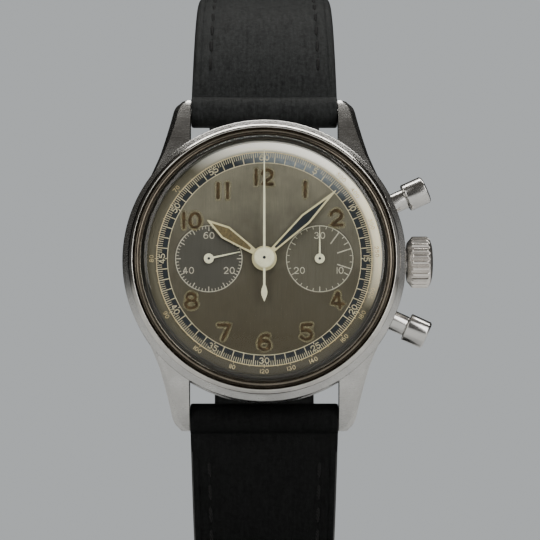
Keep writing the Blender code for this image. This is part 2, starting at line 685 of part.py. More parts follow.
def make_strap_upper():
    stations = [1.0, 2.2, 4.0, 7.0, 10.0] + [10.0 + 4.0 * i for i in range(1, 16)] + [74.2]
    pivot = (0, SPRING_BAR_Y, SPRING_BAR_Z)
    strap = part("strap_upper", "leather",
                 strap_body(1, stations, UPPER_HEADING, UPPER_LEGS, UPPER_LENGTH), pivot)
    fuse(strap, ring(ROLL_BORE, ROLL_R, -STRAP_WIDTH / 2, STRAP_WIDTH / 2, 20), pivot, ALONG_X)
    y, z, angle = strap_point(UPPER_LENGTH, UPPER_HEADING, UPPER_LEGS)
    fuse(strap, ring(0.65, 1.5, -STRAP_END_WIDTH / 2 + 0.05, STRAP_END_WIDTH / 2 - 0.05, 16),
         (0, y, z), ALONG_X)
    cut(strap, box((-1.3, 1.3), (-2.5, 2.5), (-3.0, 3.0)), (0, y, z), (-angle, 0, 0))


def make_strap_lower():
    stations = [1.0, 2.2, 4.0, 7.0, 10.0] + [10.0 + 6.0 * i for i in range(1, 17)]
    stations += [109.0, 111.5, 113.5, 114.6, LOWER_LENGTH]
    pivot = (0, -SPRING_BAR_Y, SPRING_BAR_Z)
    strap = part("strap_lower", "leather",
                 strap_body(-1, stations, LOWER_HEADING, LOWER_LEGS, LOWER_LENGTH, 10.0), pivot)
    fuse(strap, ring(ROLL_BORE, ROLL_R, -STRAP_WIDTH / 2, STRAP_WIDTH / 2, 20), pivot, ALONG_X)
    for i in range(7):
        y, z, angle = strap_point(67.0 + 6.0 * i, LOWER_HEADING, LOWER_LEGS)
        cut(strap, rod(1.0, -3.0, 3.0, 10), (0, -y, z), (angle, 0, 0))


def make_buckle():
    y, z, angle = strap_point(UPPER_LENGTH, UPPER_HEADING, UPPER_LEGS)
    at = (0, y, z)
    turn = (-angle, 0, 0)
    part("buckle_spring_bar", "steel", rod(0.55, -9.3, 9.3, 10), at, ALONG_X)
    frame = part("buckle_frame", "steel", rod(0.9, -9.5, 9.5, MEDIUM),
                 (0, y + BUCKLE_REACH * math.cos(angle), z - BUCKLE_REACH * math.sin(angle)),
                 ALONG_X)
    for side in (-1, 1):
        inner = min(side * 8.3, side * 9.5)
        outer = max(side * 8.3, side * 9.5)
        fuse(frame, box((inner, outer), (-1.3, BUCKLE_REACH), (-0.85, 0.85)), at, turn)
    cut(frame, rod(0.62, -9.4, 9.4, 10), at, ALONG_X)
    outline = [polar(1.1, math.radians(100 + 24 * i)) for i in range(11)]
    outline += [(1.2, 0.2), (9.0, 1.1), (10.9, 1.1), (11.2, 1.5), (10.9, 1.9), (8.8, 1.9),
                (0.9, 1.1)]
    tongue = plate(-0.95, 0.95, outline, circle(0.65, 10))
    upright = Matrix(((0, 0, 1), (1, 0, 0), (0, 1, 0))).to_4x4()
    bmesh.ops.transform(tongue, matrix=upright, verts=tongue.verts[:])
    part("buckle_tongue", "steel", tongue, at, turn)


def make_keeper(name, s, inside_width):
    """Leather loop round the strap, five millimetres wide."""
    y, z, angle = strap_point(s, UPPER_HEADING, UPPER_LEGS)
    half = inside_width / 2
    low = -1.7
    high = 3.3
    wall = 1.0
    outer = [(-half - wall, low), (-half - 0.5, low - wall + 0.2), (half + 0.5, low - wall + 0.2),
             (half + wall, low), (half + wall, high), (half + 0.5, high + wall),
             (-half - 0.5, high + wall), (-half - wall, high)]
    inner = [(-half, low), (half, low), (half, high), (-half, high)]
    loop = plate(-2.5, 2.5, outer, inner)
    upright = Matrix(((1, 0, 0), (0, 0, -1), (0, 1, 0))).to_4x4()
    bmesh.ops.transform(loop, matrix=upright, verts=loop.verts[:])
    part(name, "leather", loop, (0, y, z), (-angle, 0, 0))


# ---------------------------------------------------------------- assembly

CENTRE_PINION = mating_phase(BARREL, 72, 0.0, (0, 0), 12)
THIRD_PINION = mating_phase((0, 0), 64, 0.0, THIRD, 8)
FOURTH_PINION = mating_phase(THIRD, 60, 0.0, FOURTH, 8)
ESCAPE_PINION = mating_phase(FOURTH, 60, 0.0, ESCAPE, 6)
CROWN_PHASE = mating_phase(BARREL, 66, 0.0, CROWN_WHEEL, 24)
MINUTE_WHEEL_PHASE = mating_phase((0, 0), 12, 0.0, MINUTE_WHEEL, 36)
HOUR_WHEEL_PHASE = mating_phase(MINUTE_WHEEL, 10, 0.0, (0, 0), 40)

clear_scene()
STAND = make_stand()
make_mid_case()
make_case_parts()
make_spring_bars()
make_crown()
make_pushers()
make_main_plate()
make_barrel_bridge()
make_train_bridge()
make_cocks()
make_chronograph_bridge()
make_case_screws()
make_winding()
make_train()
make_motion_work()
make_chronograph()
make_dial()
make_hands()
make_strap_upper()
make_strap_lower()
make_buckle()
make_keeper("fixed_keeper", 65.0, 17.5)
make_keeper("free_keeper", 52.0, 18.4)
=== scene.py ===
"""Looks of the chronograph wristwatch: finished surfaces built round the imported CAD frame.

Shapes are drawn in the watch's own frame, in millimetres: +z out through the dial, +y to
12 o'clock, +x to the crown. raw() turns them into the frame's metres, dial facing -Y.
"""

import json
import math

import bmesh
import bpy
from mathutils import Matrix, Vector, noise as field

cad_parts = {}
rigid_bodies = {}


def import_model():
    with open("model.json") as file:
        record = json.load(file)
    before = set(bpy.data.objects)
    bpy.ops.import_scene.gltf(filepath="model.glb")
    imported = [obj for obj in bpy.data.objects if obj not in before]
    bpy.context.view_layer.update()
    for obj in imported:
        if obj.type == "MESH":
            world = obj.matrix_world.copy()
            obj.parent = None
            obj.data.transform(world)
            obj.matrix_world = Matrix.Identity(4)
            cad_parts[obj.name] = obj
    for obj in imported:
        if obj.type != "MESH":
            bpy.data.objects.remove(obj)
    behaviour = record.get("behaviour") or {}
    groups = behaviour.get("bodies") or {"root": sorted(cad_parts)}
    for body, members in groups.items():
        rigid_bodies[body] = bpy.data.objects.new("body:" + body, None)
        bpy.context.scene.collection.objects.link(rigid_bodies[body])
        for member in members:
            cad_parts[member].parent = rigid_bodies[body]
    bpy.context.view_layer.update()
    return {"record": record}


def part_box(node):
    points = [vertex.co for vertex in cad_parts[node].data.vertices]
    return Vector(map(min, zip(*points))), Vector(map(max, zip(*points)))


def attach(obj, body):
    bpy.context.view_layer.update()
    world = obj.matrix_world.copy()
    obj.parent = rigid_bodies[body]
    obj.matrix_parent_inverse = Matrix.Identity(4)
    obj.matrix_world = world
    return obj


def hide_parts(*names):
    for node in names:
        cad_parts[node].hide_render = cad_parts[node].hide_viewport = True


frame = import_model()

MM = 0.001
TO_WORLD = Matrix(((MM, 0, 0, 0), (0, 0, -MM, 0), (0, MM, 0, 0), (0, 0, 0, 1)))
Z_TO_X = Matrix.Rotation(math.pi / 2, 4, "Y")
DRAWN = set()


def span(node):
    """Lowest and highest corner of a CAD node in the watch's frame, in millimetres."""
    low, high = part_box(node)
    return Vector((low[0], low[2], -high[1])) / MM, Vector((high[0], high[2], -low[1])) / MM


def joint(name):
    return next(j for j in frame["record"]["behaviour"]["joints"] if j["name"] == name)


# Places and sizes read from the frame
CASE_R = span("mid_case")[1].x
LUG_TIP_Y = span("mid_case")[1].y
DIAL_TOP = span("dial")[1].z
PRINT_LOW = DIAL_TOP - 0.01
SUBDIAL_X = sum(corner.x for corner in span("fourth_wheel")) / -2
SUBDIAL_R = 4.6
SUBDIAL_FLOOR = DIAL_TOP - 0.15
STEM_Z = sum(corner.z for corner in span("crown")) / 2
PUSH_AXIS = joint("start_push")["axis"]
PUSHER_ANGLE = math.atan2(-PUSH_AXIS[2], -PUSH_AXIS[0])
SPRING_BAR_Y = sum(corner.y for corner in span("spring_bar_upper")) / 2
SPRING_BAR_Z = sum(corner.z for corner in span("spring_bar_upper")) / 2
TRACK_IN, TRACK_OUT = 12.85, 14.30
LUG_INSIDE = 10.0
HOUR_ANGLE = math.radians(303.9)
MINUTE_ANGLE = math.radians(46.5)
SMALL_SECONDS_ANGLE = math.radians(77.7)

# Strap path: each half leaves its spring bar and curves back behind the case
STRAP_WIDTH = 19.85
STRAP_END_WIDTH = 15.9
UPPER_LENGTH = 75.0
LOWER_LENGTH = 115.0
UPPER = (math.radians(20.0), ((6.0, 0.0), (27.93, 1 / 20.0), (60.0, 1 / 30.0)))
LOWER = (math.radians(12.0), ((8.0, 0.0), (37.66, 1 / 26.0), (80.0, 1 / 45.0)))


# ---------------------------------------------------------------- shader helpers

class Signal:
    """Output of a shader node, which adds, scales and divides like a number."""

    def __init__(self, socket):
        self.socket = socket
        self.tree = socket.id_data

    def maths(self, operation, other=0.0, clamp=False):
        return output(self.tree, "Math", {0: self, 1: other}, operation=operation, use_clamp=clamp)

    def __add__(self, other):
        return self.maths("ADD", other)

    def __sub__(self, other):
        return self.maths("SUBTRACT", other)

    def __mul__(self, other):
        return self.maths("MULTIPLY", other)

    def __truediv__(self, other):
        return self.maths("DIVIDE", other)

    def clamped(self):
        return self.maths("ADD", 0.0, clamp=True)


def set_input(socket, value):
    """Feeds a socket with a plain value, a Signal or another socket."""
    if isinstance(value, Signal):
        value = value.socket
    if isinstance(value, bpy.types.NodeSocket):
        socket.id_data.links.new(value, socket)
    else:
        socket.default_value = value


def make_node(tree, kind, inputs=None, **settings):
    made = tree.nodes.new("ShaderNode" + kind)
    for key, value in settings.items():
        setattr(made, key, value)
    for key, value in (inputs or {}).items():
        set_input(made.inputs[key], value)
    return made


def output(tree, kind, inputs=None, index=0, **settings):
    return Signal(make_node(tree, kind, inputs, **settings).outputs[index])


def separate(vector):
    """The x, y and z signals of a vector."""
    return [Signal(part) for part in make_node(vector.tree, "SeparateXYZ", {0: vector}).outputs]


def off_axis(x, z):
    """Distance from the axis that two coordinates are measured from."""
    return (x.maths("POWER", 2.0) + z.maths("POWER", 2.0)).maths("SQRT")


def blend(factor, a, b, mode="MIX"):
    tree = next(value.tree for value in (factor, a) if isinstance(value, Signal))
    return output(tree, "Mix", {0: factor, 6: a, 7: b}, 2, data_type="RGBA", blend_type=mode)


def ramp(factor, stops):
    """Colour ramp through (position, colour or grey level) stops."""
    made = make_node(factor.tree, "ValToRGB", {0: factor})
    elements = made.color_ramp.elements
    for i, (position, value) in enumerate(stops):
        element = elements[i] if i < 2 else elements.new(position)
        element.position = position
        element.color = (value, value, value, 1) if isinstance(value, float) else (*value, 1)
    return Signal(made.outputs[0])


def noise(vector, scale, detail=4.0, rough=0.55):
    return output(vector.tree, "TexNoise", {"Vector": vector, "Scale": scale, "Detail": detail,
                                            "Roughness": rough})


def stretched(vector, scale):
    return output(vector.tree, "Mapping", {0: vector, 3: scale}, vector_type="POINT")


def clouded(cloud, colour, low):
    """Colour that falls to a share of itself in the low parts of a cloud."""
    dark = (*(c * low for c in colour), 1)
    return blend(ramp(cloud, ((0.35, 0.0), (0.7, 1.0))), dark, (*colour, 1))


def bump(height, distance, strength=1.0):
    """Bump whose height is in millimetres times distance."""
    return output(height.tree, "Bump", {"Strength": strength, "Distance": distance * MM,
                                        "Height": height})


def start_material(name):
    """New material: itself, its Principled BSDF and object coordinates in millimetres."""
    material = bpy.data.materials.new(name)
    material.use_nodes = True
    tree = material.node_tree
    coords = output(tree, "TexCoord", index="Object")
    return material, tree.nodes["Principled BSDF"], stretched(coords, (1000, 1000, 1000))


def feed(shader, **inputs):
    names = {"colour": "Base Color", "rough": "Roughness", "metal": "Metallic",
             "normal": "Normal", "coat": "Coat Weight", "spec": "Specular IOR Level",
             "glow": "Emission Strength", "glow_colour": "Emission Color"}
    for key, value in inputs.items():
        set_input(shader.inputs[names[key]], value)


def mix_shaders(share, first, second):
    """Sends a mix of two shaders to the tree's own output, the second by its share."""
    mixed = output(share.tree, "MixShader", {0: share, 1: first, 2: second})
    last = next(node for node in share.tree.nodes if node.type.startswith("OUTPUT"))
    set_input(last.inputs[0], mixed)


# ---------------------------------------------------------------- materials

def metal(name, colour, rough, brush=None, wear=0.5, tint=(0.30, 0.26, 0.20), share=1.0):
    """Metal with hairlines along one way (brush scales x, y, z), smudges and fine scratches."""
    material, shader, at = start_material(name)
    cloud = noise(at, 0.35, 5.0)
    fine = noise(stretched(at, brush or (9.0, 9.0, 9.0)), 1.0, 3.0, 0.6)
    spots = ramp(noise(at, 2.2, 6.0, 0.7), ((0.62, 0.0), (0.80, 1.0)))
    base = blend(spots * (wear * 0.5), clouded(cloud, colour, 1 - 0.35 * wear), (*tint, 1))
    level = fine * (0.18 if brush else 0.06) + cloud * (0.14 * wear)
    scratch = ramp(noise(stretched(at, (0.5, 12.0, 6.0)), 1.0, 2.0, 0.4),
                   ((0.48, 0.0), (0.50, 1.0), (0.52, 0.0)))
    feed(shader, colour=base, metal=share, rough=level + (rough - 0.08),
         normal=bump(scratch * (-0.4 * wear) + fine, 0.002 if brush else 0.0015))
    return material


def paint(name, colour, rough=0.5, patch=0.15, scale=0.9):
    """Printed or lacquered colour with uneven patches and a faint texture."""
    material, shader, at = start_material(name)
    cloud = noise(at, scale, 6.0, 0.65)
    low = tuple(c * (1 - patch) for c in colour)
    high = tuple(min(1.0, c * (1 + patch)) for c in colour)
    feed(shader, colour=ramp(cloud, ((0.3, low), (0.7, high))), rough=cloud * 0.2 + (rough - 0.1),
         normal=bump(noise(at, 14.0), 0.01))
    return material


def turned_metal(name, colour, rough):
    """Steel with concentric turning lines about the dial's axis."""
    material, shader, at = start_material(name)
    x, y, z = separate(at)
    line = output(at.tree, "CombineXYZ", {0: off_axis(x, z), 1: y})
    lines = noise(stretched(line, (14.0, 4.0, 1.0)), 1.0, 3.0, 0.6)
    feed(shader, colour=clouded(noise(at, 0.4, 5.0), colour, 0.72), metal=1.0,
         rough=lines * 0.15 + (rough - 0.07), normal=bump(lines, 0.003))
    return material


def leather(name, painted_light):
    """Black leather: pebbled grain with pores and creases, its colours made paler by a factor of
    painted light.
    """
    material, shader, at = start_material(name)
    warp = output(at.tree, "TexNoise", {"Vector": at, "Scale": 1.3, "Detail": 3.0}, 1)
    bent = output(at.tree, "VectorMath", {0: at, 1: warp}, operation="ADD")
    cells = output(at.tree, "TexVoronoi", {"Vector": bent, "Scale": 2.3}, feature="SMOOTH_F1")
    pebble = (cells * -1.0 + 1.0).clamped()
    fine = noise(at, 9.0, 4.0, 0.7)
    wrinkle = noise(stretched(at, (2.8, 0.4, 0.4)), 1.0, 3.0)
    height = pebble * 0.35 + fine * 0.8 + wrinkle * 0.45
    # The colours are scaled by a factor of painted light, which makes the upper strap's copy lighter.
    low, top, haze = ((0.94 * c * painted_light, c * painted_light, 0.99 * c * painted_light, 1)
                      for c in (0.0024, 0.0084, 0.0062))
    base = blend(ramp(height, ((0.62, 0.0), (1.0, 1.0))), low, top)
    base = blend(noise(at, 0.12, 3.0) * 0.3, base, haze)
    feed(shader, colour=base, rough=fine * 0.16 + 0.46, spec=0.04, normal=bump(height, 0.075, 0.9))
    return material


def thread():
    """Waxed black thread with a twist along it."""
    material, shader, at = start_material("black_thread")
    twist = output(at.tree, "TexWave", {"Vector": at, "Scale": 2.2, "Distortion": 1.0}, 1,
                   bands_direction="DIAGONAL")
    feed(shader, colour=ramp(twist, ((0.0, 0.003), (1.0, 0.014))), rough=0.6, spec=0.1,
         normal=bump(twist, 0.05))
    return material


def dial_paint():
    """Aged grey-brown dial: vertical grain, brown stains, dark sub-dials, painted shade towards the
    bottom, painted highlight and glow on the outer rim.
    """
    material, shader, at = start_material("aged_dial")
    x, y, z = separate(at)
    grain = noise(stretched(at, (16.0, 1.0, 0.35)), 1.0, 4.0, 0.7)
    cloud = noise(at, 0.22, 6.0, 0.6)
    height = z * (1 / 30.0) + 0.5
    # Tone by height: lighter towards the top, darker and browner towards the bottom, as painted shade.
    base = ramp(height + (cloud - 0.5) * 0.7,
                ((0.12, (0.064, 0.054, 0.031)), (0.42, (0.078, 0.069, 0.047)),
                 (0.66, (0.122, 0.114, 0.085)), (0.92, (0.195, 0.183, 0.139))))
    for side, shade in ((-1, (0.062, 0.061, 0.054, 1)), (1, (0.108, 0.101, 0.076, 1))):
        mask = ramp(off_axis(x - side * SUBDIAL_X, z) / 10.0, ((0.450, 1.0), (0.462, 0.0)))
        base = blend(mask * 0.82, base, shade)
    specks = ramp(noise(at, 1.9, 5.0, 0.75), ((0.66, 0.0), (0.78, 1.0)))
    base = blend(specks * 0.55, base, (0.075, 0.058, 0.035, 1))
    base = blend(1.0, base, ramp(grain, ((0.3, 0.80), (0.7, 1.16))), "MULTIPLY")
    # Outer rim: painted shade darkens it towards the bottom; towards the upper right a painted
    # highlight turns it cream and a painted glow lights it.
    far = off_axis(x, z) / 20.0
    rim = ramp(far, ((0.712, 0.0), (0.735, 1.0)))
    painted_highlight_side = ramp((x * 0.62 + z * 0.78 + 16.0) / 32.0, ((0.60, 0.0), (0.80, 0.65), (0.97, 1.0)))
    painted_light = blend(ramp(height, ((0.05, 0.0), (0.35, 1.0))),
                 (0.078, 0.069, 0.045, 1), (0.150, 0.138, 0.098, 1))
    base = blend(rim, base, blend(painted_highlight_side, painted_light, (0.95, 0.90, 0.74, 1)))
    feed(shader, colour=base, metal=0.1, rough=grain * 0.25 + 0.34, normal=bump(grain, 0.012),
         glow=rim * painted_highlight_side * ramp(far, ((0.725, 0.50), (0.765, 1.15))),
         glow_colour=ramp(height, ((0.70, (0.98, 0.86, 0.60)), (0.93, (0.96, 0.95, 0.90)))))
    return material


def track_black():
    """Black print, with painted glare that turns it blue-grey and glowing round 1 o'clock."""
    material, shader, at = start_material("black_print")
    x, y, z = separate(at)
    # Painted glare: towards 1 o'clock the print turns blue-grey and glows.
    painted_glare = ramp((x * 0.34 + z * 0.94) / 14.0, ((0.76, 0.0), (0.96, 1.0)))
    painted_glare = (painted_glare * (noise(at, 1.5, 5.0, 0.65) + 0.4)).clamped()
    base = blend(painted_glare, (0.017, 0.022, 0.029, 1), (0.13, 0.155, 0.18, 1))
    feed(shader, colour=base, rough=0.45, spec=0.3, glow=painted_glare * 0.13,
         glow_colour=(0.86, 0.94, 1.0, 1))
    return material


def lume():
    """Aged luminous paint: brown, granular, darker at its burnt patches."""
    material, shader, at = start_material("aged_lume")
    base = ramp(noise(at, 1.6, 6.0, 0.75), ((0.30, (0.020, 0.012, 0.005)),
                                            (0.50, (0.055, 0.033, 0.012)),
                                            (0.70, (0.120, 0.077, 0.030))))
    feed(shader, colour=base, rough=0.8, normal=bump(noise(at, 9.0, 3.0), 0.12))
    return material


def see_through(name, colour, cover):
    """Thin wash of paint that lets the dial show through."""
    material, shader, at = start_material(name)
    feed(shader, colour=(*colour, 1), rough=0.6)
    clear = output(at.tree, "BsdfTransparent")
    mix_shaders(noise(at, 1.1, 4.0) * (cover * 2), clear, shader.outputs[0])
    return material


def crystal_clear():
    """Clear dome: transparent head on, mirror-like at a glance, and only from outside."""
    material, shader, at = start_material("crystal_dome")
    clear = output(at.tree, "BsdfTransparent", {0: (0.965, 0.965, 0.95, 1)})
    gloss = output(at.tree, "BsdfGlossy", {"Roughness": 0.04})
    outside = output(at.tree, "NewGeometry", index="Backfacing") * -1.0 + 1.0
    mix_shaders(output(at.tree, "Fresnel", {0: 1.45}) * outside, clear, gloss)
    at.tree.nodes.remove(shader)
    return material


def crystal_edge():
    """Foot of the crystal, painted opaque: a painted view of the dull seat round it, seen through the
    glass.
    """
    material, shader, at = start_material("crystal_edge")
    base = blend(noise(at, 0.2, 3.0), (0.060, 0.055, 0.044, 1), (0.17, 0.155, 0.12, 1))
    feed(shader, colour=base, coat=0.3, rough=0.3)
    return material


STEEL = metal("aged_steel", (0.52, 0.515, 0.50), 0.21, brush=(0.6, 9.0, 9.0), wear=0.5)
POLISHED = metal("polished_steel", (0.60, 0.59, 0.57), 0.24, wear=0.35)
BEZEL_STEEL = turned_metal("bezel_steel", (0.64, 0.62, 0.58), 0.14)
CROWN_STEEL = metal("crown_steel", (0.72, 0.685, 0.64), 0.26, wear=0.35, share=0.92)
GROOVE_STEEL = turned_metal("groove_steel", (0.19, 0.165, 0.13), 0.24)
DARK_STEEL = turned_metal("ring_steel", (0.16, 0.16, 0.155), 0.30)
BACK_STEEL = turned_metal("back_steel", (0.58, 0.575, 0.56), 0.20)
MOVEMENT_STEEL = metal("movement_steel", (0.60, 0.60, 0.60), 0.22, brush=(12.0, 12.0, 0.8))
MOVEMENT_BRASS = metal("movement_brass", (0.78, 0.60, 0.30), 0.26, brush=(12.0, 12.0, 0.8),
                       wear=0.4, tint=(0.35, 0.22, 0.10))
GILT = metal("gilt", (0.97, 0.90, 0.56), 0.22, wear=0.2, tint=(0.40, 0.30, 0.14), share=0.25)
CREAM = paint("cream_paint", (0.93, 0.90, 0.66), 0.30, 0.12)
PALE_PRINT = paint("pale_print", (0.56, 0.51, 0.355), 0.5, 0.25, 1.5)
GOLD_PRINT = paint("gold_print", (0.76, 0.63, 0.36), 0.45, 0.30, 1.2)
GREY_PRINT = paint("grey_print", (0.52, 0.50, 0.41), 0.5, 0.25, 1.5)
BLACK_PRINT = track_black()
RUBBER = paint("black_rubber", (0.012, 0.012, 0.012), 0.65, 0.3)
LUME = lume()
HOUR_LUME = paint("hour_hand_lume", (0.130, 0.100, 0.045), 0.75, 0.45, 2.5)
HALO = see_through("numeral_halo", (0.34, 0.30, 0.17), 0.34)
DIAL_PAINT = dial_paint()
CRYSTAL_DOME = crystal_clear()
CRYSTAL_EDGE = crystal_edge()
LEATHER = leather("black_leather", 1.0)
# Upper strap: the same leather painted 3.6 times lighter, a painted sheen.
LEATHER_PAINTED_LIGHTER = leather("leather_painted_lighter", 3.6)
EDGE_PAINT = paint("edge_paint", (0.010, 0.010, 0.010), 0.45, 0.3, 0.6)
THREAD = thread()


# ---------------------------------------------------------------- mesh helpers

def polar(radius, angle, centre=(0.0, 0.0)):
    return (centre[0] + radius * math.cos(angle), centre[1] + radius * math.sin(angle))


def clock(radius, turn, centre=(0.0, 0.0)):
    """Point at a radius and a clockwise angle from 12 o'clock."""
    return polar(radius, math.pi / 2 - turn, centre)


def circle(radius, steps=96, centre=(0.0, 0.0)):
    return [polar(radius, 2 * math.pi * i / steps, centre) for i in range(steps)]


def oval_section(half_across, half_up, steps):
    return [(half_across * x, half_up * y) for x, y in circle(1.0, steps)]


def arc(cx, cy, rx, ry, start, end, steps=8):
    """Points of an elliptical arc between two angles in degrees."""
    turns = [math.radians(start + (end - start) * i / steps) for i in range(steps + 1)]
    return [(cx + rx * math.cos(a), cy + ry * math.sin(a)) for a in turns]


def smooth(value, low, high):
    part = min(1.0, max(0.0, (value - low) / (high - low)))
    return part * part * (3 - 2 * part)


def between(knots, value):
    """Eased value between (position, value) knots."""
    for (p0, v0), (p1, v1) in zip(knots, knots[1:]):
        if value <= p1:
            return v0 + (v1 - v0) * smooth(value, p0, p1)
    return knots[-1][1]


def tidy(bm):
    bmesh.ops.recalc_face_normals(bm, faces=bm.faces[:])
    return bm


def plate(z_low, z_high, outline, *holes):
    bm = bmesh.new()
    edges = []
    for loop in (outline, *holes):
        verts = [bm.verts.new((x, y, z_low)) for x, y in loop]
        edges += [bm.edges.new(pair) for pair in zip(verts, verts[1:] + verts[:1])]
    bmesh.ops.triangle_fill(bm, use_beauty=True, use_dissolve=False, edges=edges)
    top = bmesh.ops.extrude_face_region(bm, geom=bm.faces[:])
    lifted = [item for item in top["geom"] if isinstance(item, bmesh.types.BMVert)]
    bmesh.ops.translate(bm, verts=lifted, vec=(0, 0, z_high - z_low))
    return tidy(bm)


def turned(profile, steps=192):
    """Solid of revolution about z. A profile off the axis closes on itself."""
    bm = bmesh.new()
    verts = [bm.verts.new((r, 0.0, z)) for r, z in profile]
    pairs = list(zip(verts, verts[1:]))
    if min(r for r, z in profile) > 0:
        pairs.append((verts[-1], verts[0]))
    edges = [bm.edges.new(pair) for pair in pairs]
    bmesh.ops.spin(bm, geom=verts + edges, cent=(0, 0, 0), axis=(0, 0, 1), dvec=(0, 0, 0),
                   angle=2 * math.pi, steps=steps, use_merge=True, use_duplicate=False)
    bmesh.ops.remove_doubles(bm, verts=bm.verts[:], dist=1e-4)
    return tidy(bm)


def flat_ring(r_in, r_out, low, high, steps=192):
    return turned([(r_in, low), (r_out, low), (r_out, high), (r_in, high)], steps)


def add_loft(bm, rings, closed=False):
    """Adds a solid through matching rings of points, with flat ends unless it closes."""
    rows = [[bm.verts.new(point) for point in points] for points in rings]
    following_rows = rows[1:] + rows[:1] if closed else rows[1:]
    for row, following in zip(rows, following_rows):
        for i, vert in enumerate(row):
            j = (i + 1) % len(row)
            bm.faces.new((vert, row[j], following[j], following[i]))
    if not closed:
        bm.faces.new(rows[0][::-1])
        bm.faces.new(rows[-1])


def add_prism(bm, outline, low, high):
    add_loft(bm, [[(*point, z) for point in outline] for z in (low, high)])


def loft(rings, closed=False):
    bm = bmesh.new()
    add_loft(bm, rings, closed)
    return tidy(bm)


def moved(bm, *matrices):
    for matrix in matrices:
        bmesh.ops.transform(bm, matrix=matrix, verts=bm.verts[:])
    return bm


def shift(x, y, z):
    return Matrix.Translation((x, y, z))


def turn_z(angle):
    return Matrix.Rotation(angle, 4, "Z")


def mirrored(right):
    """Closed outline from its right half, which runs upwards."""
    return right + [(-x, y) for x, y in right[::-1] if x]


def round_bar(bore, radius, half, corner):
    """Profile of a tube centred on the origin, from the upper half of its outside."""
    upper = [(radius - inward, half - down) for inward, down in corner] + [(bore, half)]
    return [(r, -z) for r, z in upper[::-1]] + upper


def raw(name, bm):
    """Object in the frame's metres from a shape in the watch's millimetres."""
    bmesh.ops.transform(bm, matrix=TO_WORLD, verts=bm.verts[:])
    mesh = bpy.data.meshes.new(name)
    bm.to_mesh(mesh)
    bm.free()
    obj = bpy.data.objects.new(name, mesh)
    bpy.context.collection.objects.link(obj)
    return obj


def combine(obj, operation, shapes):
    """Applies Booleans with other shapes and keeps only the result."""
    for shape in shapes:
        helper = raw("helper", shape)
        modifier = obj.modifiers.new("combine", "BOOLEAN")
        modifier.operation = operation
        modifier.solver = "EXACT"
        modifier.object = helper
        graph = bpy.context.evaluated_depsgraph_get()
        mesh = bpy.data.meshes.new_from_object(obj.evaluated_get(graph))
        obj.modifiers.clear()
        obj.data = mesh
        bpy.data.objects.remove(helper, do_unlink=True)


def join(obj, *shapes):
    combine(obj, "UNION", shapes)


def cut(obj, *shapes):
    combine(obj, "DIFFERENCE", shapes)


def place(obj, *matrices):
    """Moves an object's mesh by matrices of the watch's frame, the last one first."""
    for matrix in reversed(matrices):
        obj.data.transform(TO_WORLD @ matrix @ TO_WORLD.inverted())


def soften(obj, width, segments=3, angle=35.0):
    """Rounds an object's hard edges by a width in millimetres."""
    modifier = obj.modifiers.new("soft_edges", "BEVEL")
    modifier.width = width * MM
    modifier.segments = segments
    modifier.limit_method = "ANGLE"
    modifier.angle_limit = math.radians(angle)
    modifier.use_clamp_overlap = True


def two_materials(obj, main, other, is_other):
    """Gives an object two materials, the other where a test of the face holds."""
    obj.data.materials.append(main)
    obj.data.materials.append(other)
    for face in obj.data.polygons:
        face.material_index = int(is_other(face))


def face_radius(face):
    return math.hypot(face.center.x, face.center.z) / MM


def finish_piece(obj, material, body, replaces=None, sharp=35.0):
    """Gives a piece its material, smooth shading, body and the CAD node it stands for."""
    if not obj.data.materials:
        obj.data.materials.append(material)
    obj.data.shade_smooth()
    obj.data.set_sharp_from_angle(angle=math.radians(sharp))
    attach(obj, body)
    if replaces:
        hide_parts(replaces)
        DRAWN.add(replaces)
    return obj


def piece(name, bm, material, body, replaces=None, edge=0.0, sharp=35.0):
    obj = raw(name, bm)
    if edge:
        soften(obj, edge)
    return finish_piece(obj, material, body, replaces, sharp)


def bend(knots, value):
    """Straight-line value between (position, value) knots."""
    for (p0, v0), (p1, v1) in zip(knots, knots[1:]):
        if value <= p1:
            return v0 + (v1 - v0) * (value - p0) / (p1 - p0)
    return knots[-1][1]


def rounded(knots, value, reach=0.9):
    """Knotted line with its corners rounded over a reach."""
    steps = [reach * (k / 4 - 1) for k in range(9)]
    return sum(bend(knots, max(knots[0][0], value + step)) for step in steps) / len(steps)


def hole(radius, low, high, steps=48):
    return turned([(0, low), (radius, low), (radius, high), (0, high)], steps)


# ---------------------------------------------------------------- case

LUG_ROOT_Y = 10.4
LUG_PLAN = ((LUG_ROOT_Y, 15.6), (12.4, 14.7), (14.2, 13.95), (16.5, 13.3), (18.9, 12.7),
            (21.2, 12.2), (21.9, 11.75), (LUG_TIP_Y, 10.9))


def lug(side, end):
    """One lug: sloping top, polished bevel along the outer edge, rounded tip."""
    rings = []
    for i in range(49):
        y = LUG_ROOT_Y + (LUG_TIP_Y - LUG_ROOT_Y) * i / 48
        inner = max(LUG_INSIDE, math.sqrt(max(0.0, 16.4 ** 2 - y ** 2)))
        outer = rounded(LUG_PLAN, y, 0.5)
        top = 7.7 - 4.7 * (max(0.0, y - 12.0) / 10.4) ** 1.6
        top -= 0.12 * smooth(y, 21.7, LUG_TIP_Y) ** 2
        bottom = max(0.25, 1.2 - 0.95 * max(0.0, y - 14.0) / 6.0)
        bevel = 0.35 + 0.35 * smooth(y, 12.0, 19.0)
        drop = 0.5 + 0.5 * smooth(y, 12.0, 19.0)
        section = [(inner, bottom), (outer - 0.25, bottom), (outer, bottom + 0.25),
                   (outer, top - drop), (outer - bevel, top), (inner, top)]
        rings.append([(side * x, end * y, z) for x, z in section])
    return loft(rings)


def on_stem(bm, angle=0.0):
    """Shape drawn about +z, laid out along the stem or a pusher's axis."""
    return moved(bm, Z_TO_X, turn_z(angle), shift(0, 0, STEM_Z))


